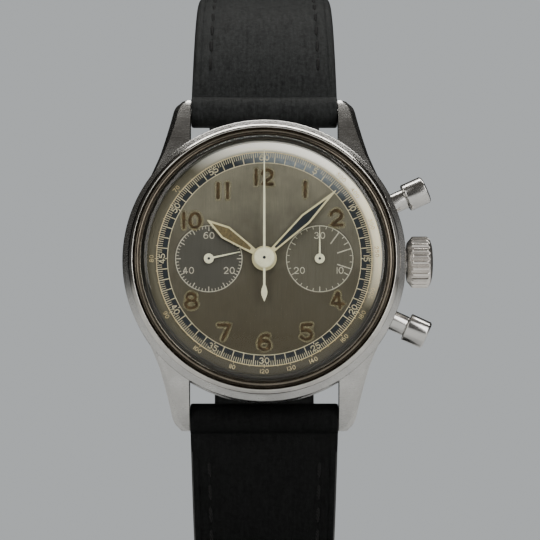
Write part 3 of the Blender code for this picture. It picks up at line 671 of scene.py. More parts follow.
def make_case():
    profile = [(16.3, 1.0), (16.9, 0.95), (17.3, 1.05), (18.55, 2.75), (18.82, 3.2),
               (CASE_R, 3.6), (CASE_R, 7.70), (18.87, 7.81), (18.80, 7.89), (18.76, 7.921),
               (18.24, 8.329), (18.2, 8.36), (18.12, 8.45), (18.02, 8.58), (17.9, 8.6),
               (15.9, 8.6), (15.9, 1.5), (16.3, 1.5)]
    case = raw("case_middle", turned(profile, 256))
    for end in (-1, 1):
        join(case, lug(-1, end), lug(1, end))
        cut(case, moved(hole(0.5, -11.1, 11.1), Z_TO_X, shift(0, end * SPRING_BAR_Y, SPRING_BAR_Z)),
            on_stem(hole(1.37, 15.0, 20.5, 64), end * PUSHER_ANGLE))
    cut(case, on_stem(hole(1.29, 15.0, 20.0, 64)))
    soften(case, 0.09, 2, 28.0)
    finish_piece(case, STEEL, "case", "mid_case", 30.0)
    bezel = [(16.35, 8.63), (17.95, 8.63), (18.02, 8.68), (18.05, 8.78), (18.05, 9.60),
             (18.04, 9.70), (17.99, 9.80), (17.90, 9.91), (17.80, 10.01), (17.70, 10.10),
             (17.61, 10.17), (17.54, 10.20), (17.47, 10.18), (17.43, 10.11), (17.40, 10.02)]
    bezel += [(17.36, 9.90), (17.30, 9.80), (17.18, 9.69), (17.0, 9.62), (16.82, 9.64),
              (16.66, 9.72), (16.53, 9.84), (16.47, 9.96), (16.41, 10.02), (16.36, 9.98)]
    bezel_ring = raw("bezel_ring", turned(bezel, 256))
    two_materials(bezel_ring, BEZEL_STEEL, GROOVE_STEEL, lambda face: 16.5 < face_radius(face) < 17.34)
    finish_piece(bezel_ring, BEZEL_STEEL, "case", "bezel")
    make_crystal()
    ring = [(15.6, 8.92), (15.64, 8.88), (15.81, 8.88), (15.85, 8.92), (15.85, 10.16),
            (15.81, 10.2), (15.72, 10.2), (15.6, 10.1)]
    piece("inner_ring", turned(ring, 256), DARK_STEEL, "case", "tension_ring")
    back = [(0, 0), (12.9, 0), (13.2, 0.03), (13.45, 0.12), (14.2, 0.26), (15.9, 0.58),
            (16.4, 0.70), (16.57, 0.78), (16.6, 0.86), (16.6, 0.94), (16.56, 0.97),
            (15.8, 0.97), (15.8, 1.9), (14.9, 1.9), (14.9, 0.8), (0, 0.8)]
    back_cover = raw("back_cover", turned(back, 256))
    notch = plate(0.5, 1.2, mirrored([(1.0, -17.5), (0.8, -16.25)]))
    cut(back_cover, flat_ring(12.15, 12.35, -0.2, 0.05), moved(notch, turn_z(math.radians(10))))
    finish_piece(back_cover, BACK_STEEL, "case", "case_back")


def make_crystal():
    """Domed crystal: clear dome over the dial and a thicker edge where the wall starts."""
    dome = [(r, 12.1 - 0.0028 * r * r) for r in (0.0, 2.5, 5.0, 7.5, 10.0, 12.0, 13.5, 14.6, 15.3)]
    edge = [(15.75, 11.37), (16.05, 11.24), (16.24, 11.02), (16.3, 10.75), (16.3, 8.68),
            (15.9, 8.68), (15.9, 10.45), (15.8, 10.66), (15.5, 10.75)]
    under = [(r, 10.75) for r in (10.0, 0.0)]
    crystal = raw("crystal_dome", turned(dome + edge + under, 256))
    two_materials(crystal, CRYSTAL_DOME, CRYSTAL_EDGE,
                  lambda face: face_radius(face) > 15.6 and -face.center.y / MM < 10.7)
    finish_piece(crystal, CRYSTAL_DOME, "case", "crystal", 50.0)


# ---------------------------------------------------------------- crown and pushers

def make_crown():
    """Crown with rounded flutes inside a turned outline: (place along the stem, radius)."""
    barrel = ((19.1, 2.55), (19.2, 2.72), (19.55, 3.12), (19.75, 3.38), (19.9, 3.45), (21.75, 3.45),
              (21.95, 3.34), (22.2, 3.02), (22.38, 2.55), (22.5, 2.0), (22.57, 1.3), (22.6, 0.5))
    radius, flute_depth, flutes, across = 3.45, 0.3, 24, 10
    foot, tip = barrel[0][0], barrel[-1][0]
    count = flutes * across
    dips = [flute_depth * smooth(abs((k / across) % 1.0 - 0.5) * 2, 0.25, 0.95) for k in range(count)]
    rings = []
    for i in range(71):
        x = foot + (tip - foot) * i / 70
        rings.append([(x, *polar(min(radius - dip, bend(barrel, x)), 2 * math.pi * k / count))
                      for k, dip in enumerate(dips)])
    crown = raw("fluted_crown", loft(rings))
    cut(crown, moved(hole(1.45, 18.0, 20.3, 64), Z_TO_X))
    place(crown, shift(0, 0, STEM_Z))
    finish_piece(crown, CROWN_STEEL, "crown", "crown", 28.0)
    piece("crown_neck", on_stem(flat_ring(0.75, 1.25, 16.0, 19.9, 64)), STEEL, "case",
          "crown_tube", edge=0.05)


def make_pushers():
    neck = [(0.75, 16.2), (1.33, 16.2), (1.33, 21.78), (1.29, 21.87), (1.2, 21.9), (0.75, 21.9)]
    cap = [(0, 13.25), (0.45, 13.25), (0.5, 13.3), (0.5, 23.2), (1.43, 23.2), (1.43, 20.95),
           (1.47, 20.9), (1.72, 20.9), (1.80, 20.94), (1.86, 21.02), (1.87, 21.12),
           (1.87, 23.62), (1.85, 23.70), (1.68, 23.86), (1.58, 23.9), (0, 23.9)]
    for name, angle in (("start_pusher", PUSHER_ANGLE), ("reset_pusher", -PUSHER_ANGLE)):
        piece(name + "_neck", on_stem(turned(neck, 96), angle), POLISHED, "case",
              name + "_tube")
        piece(name + "_cap", on_stem(turned(cap, 96), angle), POLISHED, name,
              name)


# ---------------------------------------------------------------- lettering

def oval(cx, cy, rx, ry, steps=20):
    """Closed stroke of a digit."""
    return (True, arc(cx, cy, rx, ry, 90, 450, steps)[:-1])


# Each digit's (closed, points) strokes for a height of 1; all but the 1 have the same width
DIGIT_WIDTH = 0.76
STROKES = {
    "0": [oval(0.38, 0.5, 0.38, 0.5, 24)],
    "1": [(False, [(0, 1), (0, 0)])],
    "2": [(False, arc(0.36, 0.68, 0.36, 0.32, 172, -38, 12) + [(0.02, 0), (0.76, 0)])],
    "3": [(False, arc(0.35, 0.745, 0.31, 0.255, 155, -85, 12)
           + arc(0.35, 0.265, 0.38, 0.265, 85, -160, 12))],
    "4": [(False, [(0.40, 1), (0, 0.27), (0.80, 0.24)]), (False, [(0.44, 1), (0.56, 0)])],
    "5": [(False, [(0.72, 1), (0.10, 1), (0.08, 0.58)]
           + arc(0.36, 0.315, 0.38, 0.315, 118, -150, 14))],
    "6": [(False, arc(0.50, 0.42, 0.48, 0.58, 68, 178, 10)), oval(0.38, 0.31, 0.37, 0.31)],
    "7": [(False, [(0, 1), (0.76, 1), (0.28, 0)])],
    "8": [oval(0.38, 0.755, 0.30, 0.245), oval(0.38, 0.265, 0.38, 0.265)],
    "9": [(False, arc(0.26, 0.58, 0.48, 0.58, 248, 358, 10)), oval(0.38, 0.69, 0.37, 0.31)],
}


def finer(points, closed, most):
    """Points of a line with long runs split up."""
    path = [Vector(p) for p in points]
    fine = []
    for a, b in zip(path, path[1:] + (path[:1] if closed else [])):
        count = max(1, math.ceil((b - a).length / most))
        fine += [a.lerp(b, k / count) for k in range(count)]
    return fine if closed else fine + [path[-1]]


def stroke(bm, points, closed, half, low, rise, uneven=0.0):
    """Raised line with a domed section and round ends."""
    path = finer(points, closed, half * 1.2)
    if not closed:
        lead = (path[0] - path[1]).normalized() * half
        trail = (path[-1] - path[-2]).normalized() * half
        steps = (0.99, 0.9, 0.7, 0.4)
        path = [path[0] + lead * k for k in steps] + path + [path[-1] + trail * k for k in steps[::-1]]
        caps = [math.sqrt(1 - k * k) for k in steps]
        widths = caps + [1.0] * (len(path) - 8) + caps[::-1]
    else:
        widths = [1.0] * len(path)
    section = ((-1.0, 0.0), (-0.88, 0.62), (-0.45, 0.95), (0.0, 1.0), (0.45, 0.95),
               (0.88, 0.62), (1.0, 0.0))
    rings = []
    last = len(path) - 1
    for i, point in enumerate(path):
        before = path[i - 1] if closed or i else point
        after = path[(i + 1) % len(path)] if closed or i < last else point
        along = (after - before).normalized()
        side = Vector((-along.y, along.x))
        share = widths[i] * (1 + uneven * field.noise(Vector((point.x * 1.7, point.y * 1.7, half))))
        rings.append([(*(point + side * half * share * a), low + rise * share * b)
                      for a, b in section])
    add_loft(bm, rings, closed)


def write(bm, text, height, half, centre, turn, low, rise, gap=0.34, widen=1.0, uneven=0.0):
    """Digits of a height, centred on a point and turned counter-clockwise."""
    widths = [0.0 if character == "1" else DIGIT_WIDTH * widen for character in text]
    start = -(sum(widths) + gap * (len(text) - 1)) / 2
    for character, width in zip(text, widths):
        for closed, points in STROKES[character]:
            placed = []
            for x, y in points:
                local = Vector(((start + x * widen) * height, (y - 0.5) * height))
                local.rotate(Matrix.Rotation(turn, 2))
                placed.append((local.x + centre[0], local.y + centre[1]))
            stroke(bm, placed, closed, half, low, rise, uneven)
        start += width + gap


def printed(name, bm, material):
    piece(name, tidy(bm), material, "case")


def tick(bm, turn, r_in, r_out, half, low, high, centre=(0.0, 0.0)):
    """Short bar along a radius, at a clockwise angle from 12 o'clock."""
    along = Vector(clock(1.0, turn))
    side = Vector((-along.y, along.x)) * half
    middle = Vector(centre)
    corners = [middle + along * r_in - side, middle + along * r_out - side,
               middle + along * r_out + side, middle + along * r_in + side]
    add_prism(bm, corners, low, high)


def block(bm, start, end, r_in, r_out, low, high, steps=5):
    """Piece of a flat ring between two clockwise angles."""
    turns = [start + (end - start) * i / steps for i in range(steps + 1)]
    outline = [clock(r_out, a) for a in turns] + [clock(r_in, a) for a in reversed(turns)]
    add_prism(bm, outline, low, high)


# ---------------------------------------------------------------- dial

def make_dial():
    radii = (15.75, 15.75, 15.6, 15.3, 14.9, 14.5, 14.35)
    drops = (-0.40, -0.15, -0.10, -0.05, -0.015, -0.002, 0.0)
    profile = [(0, 8.45)] + [(r, DIAL_TOP + d) for r, d in zip(radii, drops)] + [(0, DIAL_TOP)]
    dial = raw("dial_plate", turned(profile, 256))
    for side in (-1, 1):
        well = turned([(0, SUBDIAL_FLOOR), (4.46, SUBDIAL_FLOOR), (SUBDIAL_R, DIAL_TOP - 0.02),
                       (SUBDIAL_R + 0.04, 9.2), (0, 9.2)], 160)
        for shape in (well, hole(0.35, 8.0, 9.5, 32)):
            cut(dial, moved(shape, shift(side * SUBDIAL_X, 0, 0)))
    cut(dial, hole(1.1, 8.0, 9.5))
    finish_piece(dial, DIAL_PAINT, "case", "dial", 20.0)
    make_hour_numerals()
    make_minute_track()
    make_speed_scale()
    make_subdial_marks()


def make_hour_numerals():
    lume_mesh = bmesh.new()
    halo_mesh = bmesh.new()
    places = (("12", 0.0, 10.95), ("1", 30.4, 10.75), ("2", 60.4, 11.05), ("4", 119.8, 11.15),
              ("5", 150.3, 11.25), ("6", 180.0, 11.15), ("7", 208.4, 11.15), ("8", 239.8, 11.2),
              ("10", 298.0, 10.88), ("11", 328.8, 10.65))
    for text, degrees, radius in places:
        centre = clock(radius, math.radians(degrees))
        gap = 0.66 if text == "11" else 0.42
        wide = 0.94 if len(text) == 2 else 1.0
        write(lume_mesh, text, 1.92, 0.215, centre, 0.0, PRINT_LOW, 0.06, gap, wide, 0.30)
        write(halo_mesh, text, 1.92, 0.50, centre, 0.0, DIAL_TOP - 0.006, 0.014, gap, wide, 0.2)
    printed("hour_numerals", lume_mesh, LUME)
    printed("numeral_halos", halo_mesh, HALO)


def make_minute_track():
    """Black blocks with cream minute lines, a comb of fifths, numbers and two circles."""
    black = bmesh.new()
    cream = bmesh.new()
    step = 2 * math.pi / 60
    high = DIAL_TOP + 0.016
    for minute in range(60):
        start = minute * step
        block(black, start + 0.0052, start + step - 0.0052, 12.93, 14.22, PRINT_LOW, DIAL_TOP + 0.012)
        for k in range(1, 5):
            beside = abs((minute + k / 5 + 2.5) % 5 - 2.5) < 0.5
            tick(cream, start + step * k / 5, 14.0 if beside else 13.60, 14.26, 0.045, PRINT_LOW, high)
        tick(cream, start, TRACK_IN, TRACK_OUT if minute % 5 else 13.15, 0.062, PRINT_LOW, high)
        if minute % 5 == 0:
            tick(cream, start, 14.05, TRACK_OUT, 0.10, PRINT_LOW, high)
    printed("minute_blocks", black, BLACK_PRINT)
    for number in range(5, 65, 5):
        turn = number * step
        inward = 18 < number < 42
        write(cream, str(number), 0.70, 0.070, clock(13.58, turn), (math.pi if inward else 0) - turn,
              DIAL_TOP + 0.006, 0.014, 0.30, 0.95)
    printed("minute_marks", cream, PALE_PRINT)
    for name, radius, print_colour in (("inner", TRACK_IN, PALE_PRINT),
                                       ("outer", TRACK_OUT, GOLD_PRINT)):
        ring = flat_ring(radius - 0.05, radius + 0.05, PRINT_LOW, DIAL_TOP + 0.018, 256)
        printed("minute_circle_" + name, ring, print_colour)


def make_speed_scale():
    """Gold speed scale round the rim: units per hour for a time in seconds."""
    gold = bmesh.new()
    speeds = (70, 80, 90, 100, 110, 120, 130, 140, 160, 180, 200, 250, 300, 400, 500)
    for speed in speeds:
        turn = 2 * math.pi * 60 / speed
        inward = math.pi / 2 < turn % (2 * math.pi) < 1.45 * math.pi
        write(gold, str(speed), 0.50, 0.045, clock(14.98, turn), (math.pi if inward else 0) - turn,
              DIAL_TOP - 0.05, 0.056, 0.36, 0.9)
        tick(gold, turn, 14.36, 14.55, 0.04, DIAL_TOP - 0.03, DIAL_TOP + 0.012)
    for speed in (*range(62, 100, 2), *range(105, 200, 5), *range(210, 300, 10), *range(325, 525, 25)):
        tick(gold, 2 * math.pi * 60 / speed, 14.36, 14.48, 0.03, DIAL_TOP - 0.03, DIAL_TOP + 0.011)
    printed("speed_scale", gold, GOLD_PRINT)


def make_subdial_marks():
    low, high = SUBDIAL_FLOOR - 0.01, SUBDIAL_FLOOR + 0.013
    for name, side, count, numbers in (("seconds", -1, 60, ((60, 0), (20, 120), (40, 240))),
                                       ("counter", 1, 30, ((30, 0), (10, 120), (20, 240)))):
        marks = bmesh.new()
        centre = (side * SUBDIAL_X, 0.0)
        for i in range(count):
            turn = 2 * math.pi * i / count
            inner = 4.02 if i % 5 else 3.72
            half = 0.045 if i % 5 else 0.06
            if side > 0 and i in (3, 6, 9):
                inner = 2.45
                half = 0.075
            tick(marks, turn, inner, 4.36, half, low, high, centre)
        for number, degrees in numbers:
            write(marks, str(number), 0.80, 0.062, clock(3.12, math.radians(degrees), centre), 0.0,
                  low, 0.022, 0.32, 0.9)
        printed(name + "_marks", marks, GREY_PRINT)
        rim = flat_ring(4.36, 4.47, low, high + 0.004, 160)
        printed(name + "_circle", moved(rim, shift(centre[0], 0, 0)), GREY_PRINT)


# ---------------------------------------------------------------- hands

def inset(outline, distance):
    """Outline moved inwards by a distance; the outline runs counter-clockwise."""
    points = [Vector(p) for p in outline]
    moved_points = []
    for i, point in enumerate(points):
        before = (point - points[i - 1]).normalized()
        after = (points[(i + 1) % len(points)] - point).normalized()
        bisector = (before + after).normalized()
        side = Vector((-bisector.y, bisector.x))
        moved_points.append(tuple(point + side * (distance / max(0.12, bisector.dot(after)))))
    return moved_points


def framed_hand(kind, turn, low, outline, window, hub_r, hub_hole, inlay):
    """Gilt hand with an open frame round a dark inlay, from the right halves of its outlines."""
    name = kind + "_hand"
    opening = mirrored(window)
    hand = raw(name + "_frame", plate(low, low + 0.15, mirrored(outline), opening))
    join(hand, turned([(hub_hole, low - 0.05), (hub_r - 0.08, low - 0.05), (hub_r, low + 0.02),
                       (hub_r, low + 0.14), (hub_r - 0.1, low + 0.22), (hub_hole, low + 0.22)], 96))
    soften(hand, 0.035, 2)
    place(hand, turn_z(-turn))
    finish_piece(hand, GILT, kind, name)
    fill = moved(plate(low + 0.03, low + 0.09, inset(opening, -0.03)), turn_z(-turn))
    piece(name + "_inlay", fill, inlay, kind)


def cream_hand(name, blade, hub, pit, edge):
    """Flat hand with a hub and a pit for its pivot."""
    hand = raw(name, blade)
    join(hand, hub)
    cut(hand, pit)
    soften(hand, edge, 2)
    return hand


def make_hands():
    framed_hand("hour", HOUR_ANGLE, 9.15,
                [(0.34, 1.2), (0.52, 2.6), (0.92, 6.2), (0.09, 9.02), (0.0, 9.16)],
                [(0.17, 2.2), (0.34, 3.0), (0.68, 6.14), (0.02, 8.35)], 1.65, 0.72, HOUR_LUME)
    framed_hand("minute", MINUTE_ANGLE, 9.55,
                [(0.30, 1.1), (0.40, 2.4), (0.76, 7.6), (0.07, 13.05), (0.0, 13.2)],
                [(0.14, 2.0), (0.22, 3.0), (0.54, 7.56), (0.02, 11.4)], 1.5, 0.3, BLACK_PRINT)
    sweep_outline = [(0.0, -5.86), (0.2, -5.4), (0.36, -5.0), (0.42, -4.6), (0.34, -4.15),
                     (0.2, -3.76), (0.15, -3.6), (0.155, 0.0), (0.14, 8.0), (0.055, 14.5),
                     (0.0, 14.6)]
    sweep_hub = [(0, 9.85), (1.25, 9.85), (1.33, 9.90), (1.35, 9.98), (1.35, 10.18),
                 (1.31, 10.27), (1.2, 10.33), (1.0, 10.35), (0, 10.35)]
    sweep = cream_hand("sweep_hand", plate(9.95, 10.1, mirrored(sweep_outline)), turned(sweep_hub, 96),
                       hole(0.22, 10.2, 10.6), 0.035)
    finish_piece(sweep, CREAM, "chrono_seconds", "chrono_seconds_hand")
    piece("sweep_pivot", hole(0.2, 10.15, 10.27), BLACK_PRINT, "chrono_seconds")
    small_hub = [(0, 8.89), (0.64, 8.89), (0.66, 8.92), (0.66, 9.03), (0.6, 9.08), (0.0, 9.08)]
    for name, body, side, length, turn in (
            ("small_seconds_hand", "seconds", -1, 4.24, SMALL_SECONDS_ANGLE),
            ("minute_counter_hand", "minute_counter", 1, 3.76, 0.0)):
        to_subdial = shift(side * SUBDIAL_X, 0, 0)
        blade = plate(8.9, 9.0, mirrored([(0.13, 0.0), (0.11, 1.5), (0.045, length)]))
        hand = cream_hand(name + "_blade", blade, turned(small_hub, 64), hole(0.2, 9.0, 9.3), 0.02)
        place(hand, to_subdial, turn_z(-turn))
        finish_piece(hand, CREAM, body, name)
        piece(name + "_pivot", moved(hole(0.18, 8.95, 9.03), to_subdial), BLACK_PRINT, body)


# ---------------------------------------------------------------- strap

TOP_THICK = ((1.0, 1.2), (1.8, 1.25), (2.4, 1.35), (3.2, 1.62), (4.5, 1.75), (7.0, 1.7),
             (10.0, 1.5), (30.0, 1.2), (60.0, 1.0), (200.0, 1.0))
UNDER_THICK = ((1.0, 1.5), (2.2, 1.9), (10.0, 1.5), (30.0, 1.2), (60.0, 1.0), (200.0, 1.0))
TOP_SHAPE = ((0.0, -0.62), (0.08, -0.40), (0.22, -0.20), (0.45, -0.06), (0.72, 0.0),
             (0.90, -0.05), (1.02, -0.13), (1.15, -0.05), (1.35, 0.02), (2.15, 0.07),
             (2.40, -0.03), (2.65, 0.07), (3.6, 0.18), (5.2, 0.24), (10.0, 0.26))
UNDER_SHAPE = ((0.0, -0.55), (0.10, -0.28), (0.30, -0.08), (0.7, 0.0), (10.0, 0.0))
SEAM = 2.4


def strap_point(s, path):
    """Distance from the case's axis, height and heading at a length along a strap half."""
    heading, legs = path
    y, z = SPRING_BAR_Y, SPRING_BAR_Z
    for length, curvature in legs:
        run = min(s, length)
        if curvature:
            after = heading + curvature * run
            y += (math.sin(after) - math.sin(heading)) / curvature
            z -= (math.cos(heading) - math.cos(after)) / curvature
            heading = after
        else:
            y += run * math.cos(heading)
            z -= run * math.sin(heading)
        s -= run
        if s <= 0:
            break
    return y, z, heading


def half_width(s, length, tip):
    half = (STRAP_WIDTH + (STRAP_END_WIDTH - STRAP_WIDTH) * min(1.0, s / UPPER_LENGTH)) / 2
    if tip and s > length - tip:
        half *= math.sqrt(max(0.03, 1 - ((s - length + tip) / tip) ** 2))
    return half


def on_strap(x, s, n, end, path):
    """Point of the watch's frame at a width, a length and a height over the strap's middle."""
    y, z, angle = strap_point(s, path)
    return Vector((x, end * (y + n * math.sin(angle)), z + n * math.cos(angle)))


def strap_seat(s):
    """Matrix that puts a shape drawn round the origin at a length along the upper half."""
    y, z, angle = strap_point(s, UPPER)
    return shift(0, y, z) @ Matrix.Rotation(-angle, 4, "X")


def top_height(x, s, half):
    painted_glare = smooth(s, 2.0, 5.0)
    wave = 0.07 * field.noise(Vector((x * 0.22, s * 0.16, 3.1)))
    wave += 0.03 * field.noise(Vector((x * 0.7, s * 0.6, 7.7)))
    return between(TOP_THICK, s) + (bend(TOP_SHAPE, half - abs(x)) + wave) * painted_glare


def strap_band(end, path, length, tip):
    stations = [1.0 + 0.8 * i for i in range(int((length - 1.8) / 0.8) + 1)]
    if tip:
        stations += [length - 0.6, length - 0.25, length - 0.05]
    rings = []
    for s in stations:
        half = half_width(s, length, tip)
        thin = min(1.0, half / 6.5)
        offsets = [d * thin for d, rise in TOP_SHAPE[:-1]]
        offsets += [(offsets[-1] + half) / 2, half]
        right = [(half - d, top_height(half - d, s, half)) for d in offsets]
        left = [(d - half, top_height(half - d, s, half)) for d in offsets[-2::-1]]
        under = [d * thin for d, rise in UNDER_SHAPE[:-1]]
        below_left = [(d - half, -between(UNDER_THICK, s) - bend(UNDER_SHAPE, d)) for d in under]
        below_right = [(-x, n) for x, n in below_left[::-1]]
        rings.append([on_strap(x, s, n, end, path)
                      for x, n in right + left + below_left + below_right])
    return rings


def make_stitches(name, end, path, length, first, last, body, tip=0.0):
    """Two rows of stitches that sink into their seam at both ends."""
    threads = bmesh.new()
    count = int((last - first) / 3.0)
    for side in (-1, 1):
        for i in range(count):
            start = first + 3.0 * i
            rings = []
            for k in range(9):
                part = k / 8
                s = start + 2.2 * part
                x = side * (half_width(s, length, tip) - SEAM + 0.10 * (part - 0.5) * end)
                lift = 0.30 * math.sin(math.pi * part) ** 0.5 - 0.26
                height = top_height(x, s, half_width(s, length, tip)) + lift
                rings.append([on_strap(x + across, s, height + up, end, path)
                              for across, up in oval_section(0.25, 0.19, 10)])
            add_loft(threads, rings)
    piece(name, tidy(threads), THREAD, body, sharp=60.0)


def strap_roll(radius, bore, half, y, z):
    """Rolled end of leather round a bar."""
    profile = round_bar(bore, radius, half, ((0, 0.3), (0.08, 0.08), (0.3, 0)))
    return moved(turned(profile, 72), Z_TO_X, shift(0, y, z))


def start_strap(half, end, path, length, tip):
    """Band of a strap half with the rolled end round its spring bar."""
    strap = raw(half + "_band", loft(strap_band(end, path, length, tip)))
    join(strap, strap_roll(2.12, 0.82, STRAP_WIDTH / 2, end * SPRING_BAR_Y, SPRING_BAR_Z))
    return strap


def finish_strap(obj, half, end, path, length, tip, hide):
    """Hide on the faces, paint on the cut edges, and the half's stitches."""
    body = "strap_" + half
    two_materials(obj, hide, EDGE_PAINT, lambda face: abs(face.normal.x) > 0.75)
    finish_piece(obj, hide, body, body, 42.0)
    make_stitches(half + "_stitches", end, path, length, 5.5, length - max(tip, 5.0), body, tip)


def make_strap_upper():
    shape = ("upper", 1, UPPER, UPPER_LENGTH, 0.0)
    strap = start_strap(*shape)
    y, z, angle = strap_point(UPPER_LENGTH, UPPER)
    join(strap, strap_roll(1.5, 0.65, STRAP_END_WIDTH / 2, y, z))
    slot = plate(-3, 3, mirrored([(1.3, -2.5), (1.3, 2.5)]))
    cut(strap, moved(slot, strap_seat(UPPER_LENGTH)))
    # The upper strap takes the leather painted lighter.
    finish_strap(strap, *shape, LEATHER_PAINTED_LIGHTER)


def make_strap_lower():
    shape = ("lower", -1, LOWER, LOWER_LENGTH, 10.0)
    strap = start_strap(*shape)
    holes = bmesh.new()
    for i in range(7):
        s = 67.0 + 6.0 * i
        angle = strap_point(s, LOWER)[2]
        along = Vector((0, -math.cos(angle), -math.sin(angle)))
        add_loft(holes, [[on_strap(x, s, n, -1, LOWER) + along * y for x, y in circle(1.0, 32)]
                         for n in (-3.0, 3.0)])
    cut(strap, tidy(holes))
    finish_strap(strap, *shape, LEATHER)


# ---------------------------------------------------------------- buckle and keepers

def swept(points, widths, across, up, steps=24):
    """Bar with an oval section along a path: widths are (half across, half up) per point."""
    return loft([[point + side * x + up * y for x, y in oval_section(*halves, steps)]
                 for point, halves, side in zip(points, widths, across)])


def make_buckle():
    seat = strap_seat(UPPER_LENGTH)
    half, far, corner = 8.9, 10.0, 2.4
    right = [(half, along) for along in (-1.2, -0.6, 1.0, 4.0)]
    right += arc(half - corner, far - corner, corner, corner, 0, 90, 6) + [(4.0, far), (0.0, far)]
    path = mirrored(right)
    points = [Vector((x, a, 0)) for x, a in path]
    sides = []
    sizes = []
    for i in range(len(points)):
        along = (points[min(i + 1, len(points) - 1)] - points[max(0, i - 1)]).normalized()
        sides.append(Vector((along.y, -along.x, 0)))
        share = smooth(points[i].y, 4.0, 9.0)
        sizes.append((0.6 + 0.3 * share, 0.85 + 0.05 * share))
    bow = raw("buckle_bow", moved(swept(points, sizes, sides, Vector((0, 0, 1))), seat))
    cut(bow, moved(hole(0.62, -9.7, 9.7), Z_TO_X, seat))
    finish_piece(bow, POLISHED, "buckle", "buckle_frame")
    spine = ((0.6, 0.62), (1.4, 0.72), (3.0, 0.80), (6.0, 1.10), (9.0, 1.48), (10.4, 1.52),
             (11.1, 1.48))
    halves = (0.95, 0.95, 0.95, 0.9, 0.85, 0.8, 0.55)
    thick = (0.42, 0.42, 0.42, 0.42, 0.40, 0.38, 0.20)
    blade = swept([Vector((0, a, n)) for a, n in spine], list(zip(halves, thick)),
                  [Vector((1, 0, 0))] * len(spine), Vector((0, -0.15, 0.99)))
    tongue = raw("buckle_pin", moved(blade, seat))
    loop = round_bar(0.65, 1.1, 0.95, ((0, 0.1), (0.1, 0)))
    join(tongue, moved(turned(loop, 64), Z_TO_X, seat))
    cut(tongue, moved(hole(0.65, -2.0, 2.0), Z_TO_X, seat))
    finish_piece(tongue, POLISHED, "tongue", "buckle_tongue")


def make_keeper(name, s, inside, body):
    """Leather loop with rounded corners and edges."""
    low, high, wall, corner = -1.7, 3.3, 1.0, 0.9
    half = inside / 2
    loop = []
    for cx, cz, start in ((half - corner, high - corner, 0), (-half + corner, high - corner, 90),
                          (-half + corner, low + corner, 180), (half - corner, low + corner, 270)):
        loop += [(cx, cz, math.radians(start + 15 * i)) for i in range(7)]
    band = mirrored([(2.35, 0.0), (2.5, 0.15), (2.5, wall - 0.3), (2.3, wall - 0.06), (2.0, wall)])
    rings = [[(cx + (corner + out) * math.cos(a), along, cz + (corner + out) * math.sin(a))
              for along, out in band] for cx, cz, a in loop]
    piece(name + "_loop", moved(loft(rings, True), strap_seat(s)), LEATHER, body,
          name)


# ---------------------------------------------------------------- movement and fittings

def finish_cad_nodes():
    """Materials for the pieces that keep their CAD shape: fittings and the closed movement."""
    looks = {"case_steel": STEEL, "movement_steel": MOVEMENT_STEEL, "movement_brass": MOVEMENT_BRASS,
             "gasket": RUBBER}
    for entry in frame["record"]["subparts"]:
        if entry["node"] not in DRAWN:
            obj = bpy.data.objects[entry["node"]]
            obj.data.materials.clear()
            obj.data.materials.append(looks[entry["material_slot"]])
            soften(obj, 0.03, 2)


# ---------------------------------------------------------------- studio

def area_light(name, size, power, spot, aim, colour=(1.0, 1.0, 1.0), reflected=True):
    """Soft rectangular lamp, which can be kept out of reflections."""
    lamp = bpy.data.lights.new(name, "AREA")
    lamp.shape = "RECTANGLE"
    lamp.size, lamp.size_y = size
    lamp.energy = power
    lamp.color = colour
    obj = bpy.data.objects.new(name, lamp)
    obj.location = spot
    obj.rotation_euler = (Vector(aim) - Vector(spot)).to_track_quat("-Z", "Y").to_euler()
    obj.visible_glossy = reflected
    bpy.context.collection.objects.link(obj)


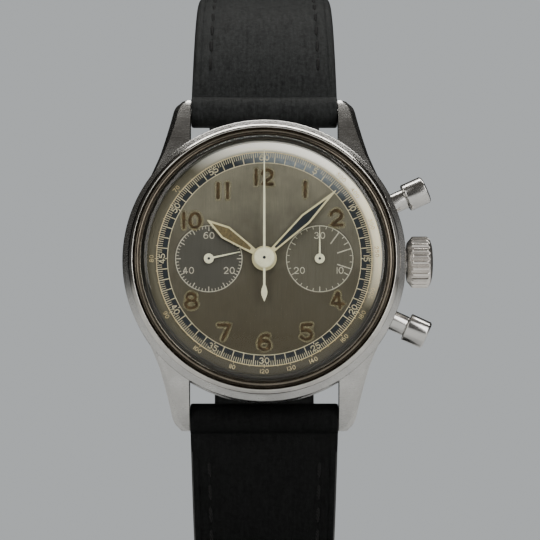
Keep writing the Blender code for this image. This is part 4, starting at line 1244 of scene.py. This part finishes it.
def make_world():
    """Pale to the eye. Reflections see it dim, dimmer behind the watch, brighter below and right."""
    world = bpy.data.worlds.new("studio")
    world.use_nodes = True
    tree = world.node_tree
    x, y, z = (part * 0.5 + 0.5 for part in separate(output(tree, "TexCoord", index="Generated")))
    shade = ramp(z, ((0.0, 0.20), (0.46, 0.05), (0.60, (0.045, 0.043, 0.040)),
                     (0.97, (0.070, 0.064, 0.056)), (1.0, (0.11, 0.105, 0.10))))
    shade = blend(1.0, shade, ramp(y, ((0.45, 1.0), (0.60, 0.12))), "MULTIPLY")
    side = ramp(x, ((0.0, 0.03), (0.05, 0.0), (0.94, 0.0), (0.97, 0.26)))
    cast = output(tree, "Background", {0: blend(1.0, shade, side, "ADD"), 1: 1.0})
    seen = output(tree, "Background", {0: (0.46, 0.48, 0.49, 1), 1: 1.0})
    mix_shaders(output(tree, "LightPath", index="Is Camera Ray"), cast, seen)
    bpy.context.scene.world = world


def make_studio():
    lowest = min(low[2] for low, high in (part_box(e["node"]) for e in frame["record"]["subparts"]))
    bm = bmesh.new()
    bmesh.ops.create_grid(bm, x_segments=1, y_segments=1, size=1.5)
    mesh = bpy.data.meshes.new("floor")
    bm.to_mesh(mesh)
    bm.free()
    floor = bpy.data.objects.new("floor", mesh)
    floor.location.z = lowest - 0.0005
    material, shader, at = start_material("floor")
    feed(shader, colour=(0.68, 0.69, 0.69, 1), rough=0.75)
    mesh.materials.append(material)
    bpy.context.collection.objects.link(floor)
    make_world()
    area_light("overhead", (0.6, 0.09), 1.9, (0.04, 0.07, 0.45), (0.04, 0, 0), (1.0, 0.98, 0.94))
    area_light("back_box", (0.6, 0.17), 0.25, (0.02, 0.18, 0.44), (0.02, 0, 0), (1.0, 0.98, 0.95))
    area_light("left_box", (0.22, 0.42), 0.8, (-0.270, -0.375, 0.187), (0, 0, 0), (1.0, 0.98, 0.95))
    area_light("right_box", (0.22, 0.42), 1.3, (0.285, -0.365, 0.187), (0, 0, 0), (1.0, 0.99, 0.97))
    area_light("fill", (0.5, 0.5), 1.6, (-0.05, -0.40, 0.45), (0, 0, 0), reflected=False)
    data = bpy.data.cameras.new("camera")
    data.sensor_width = 36.0
    data.lens = 176.4
    data.shift_x = 0.0106
    data.shift_y = -0.0231
    camera = bpy.data.objects.new("camera", data)
    distance, tilt = 0.35, math.radians(-7.0)
    target = Vector((0.0, -0.010, 0.0))
    camera.location = target + distance * Vector((0.0, -math.cos(tilt), math.sin(tilt)))
    camera.rotation_euler = (target - camera.location).to_track_quat("-Z", "Y").to_euler()
    bpy.context.collection.objects.link(camera)
    bpy.context.scene.camera = camera


make_case()
make_crown()
make_pushers()
make_dial()
make_hands()
make_strap_upper()
make_strap_lower()
make_buckle()
make_keeper("fixed_keeper", 65.0, 17.5, "strap_upper")
make_keeper("free_keeper", 52.0, 18.4, "free_keeper")
finish_cad_nodes()
make_studio()
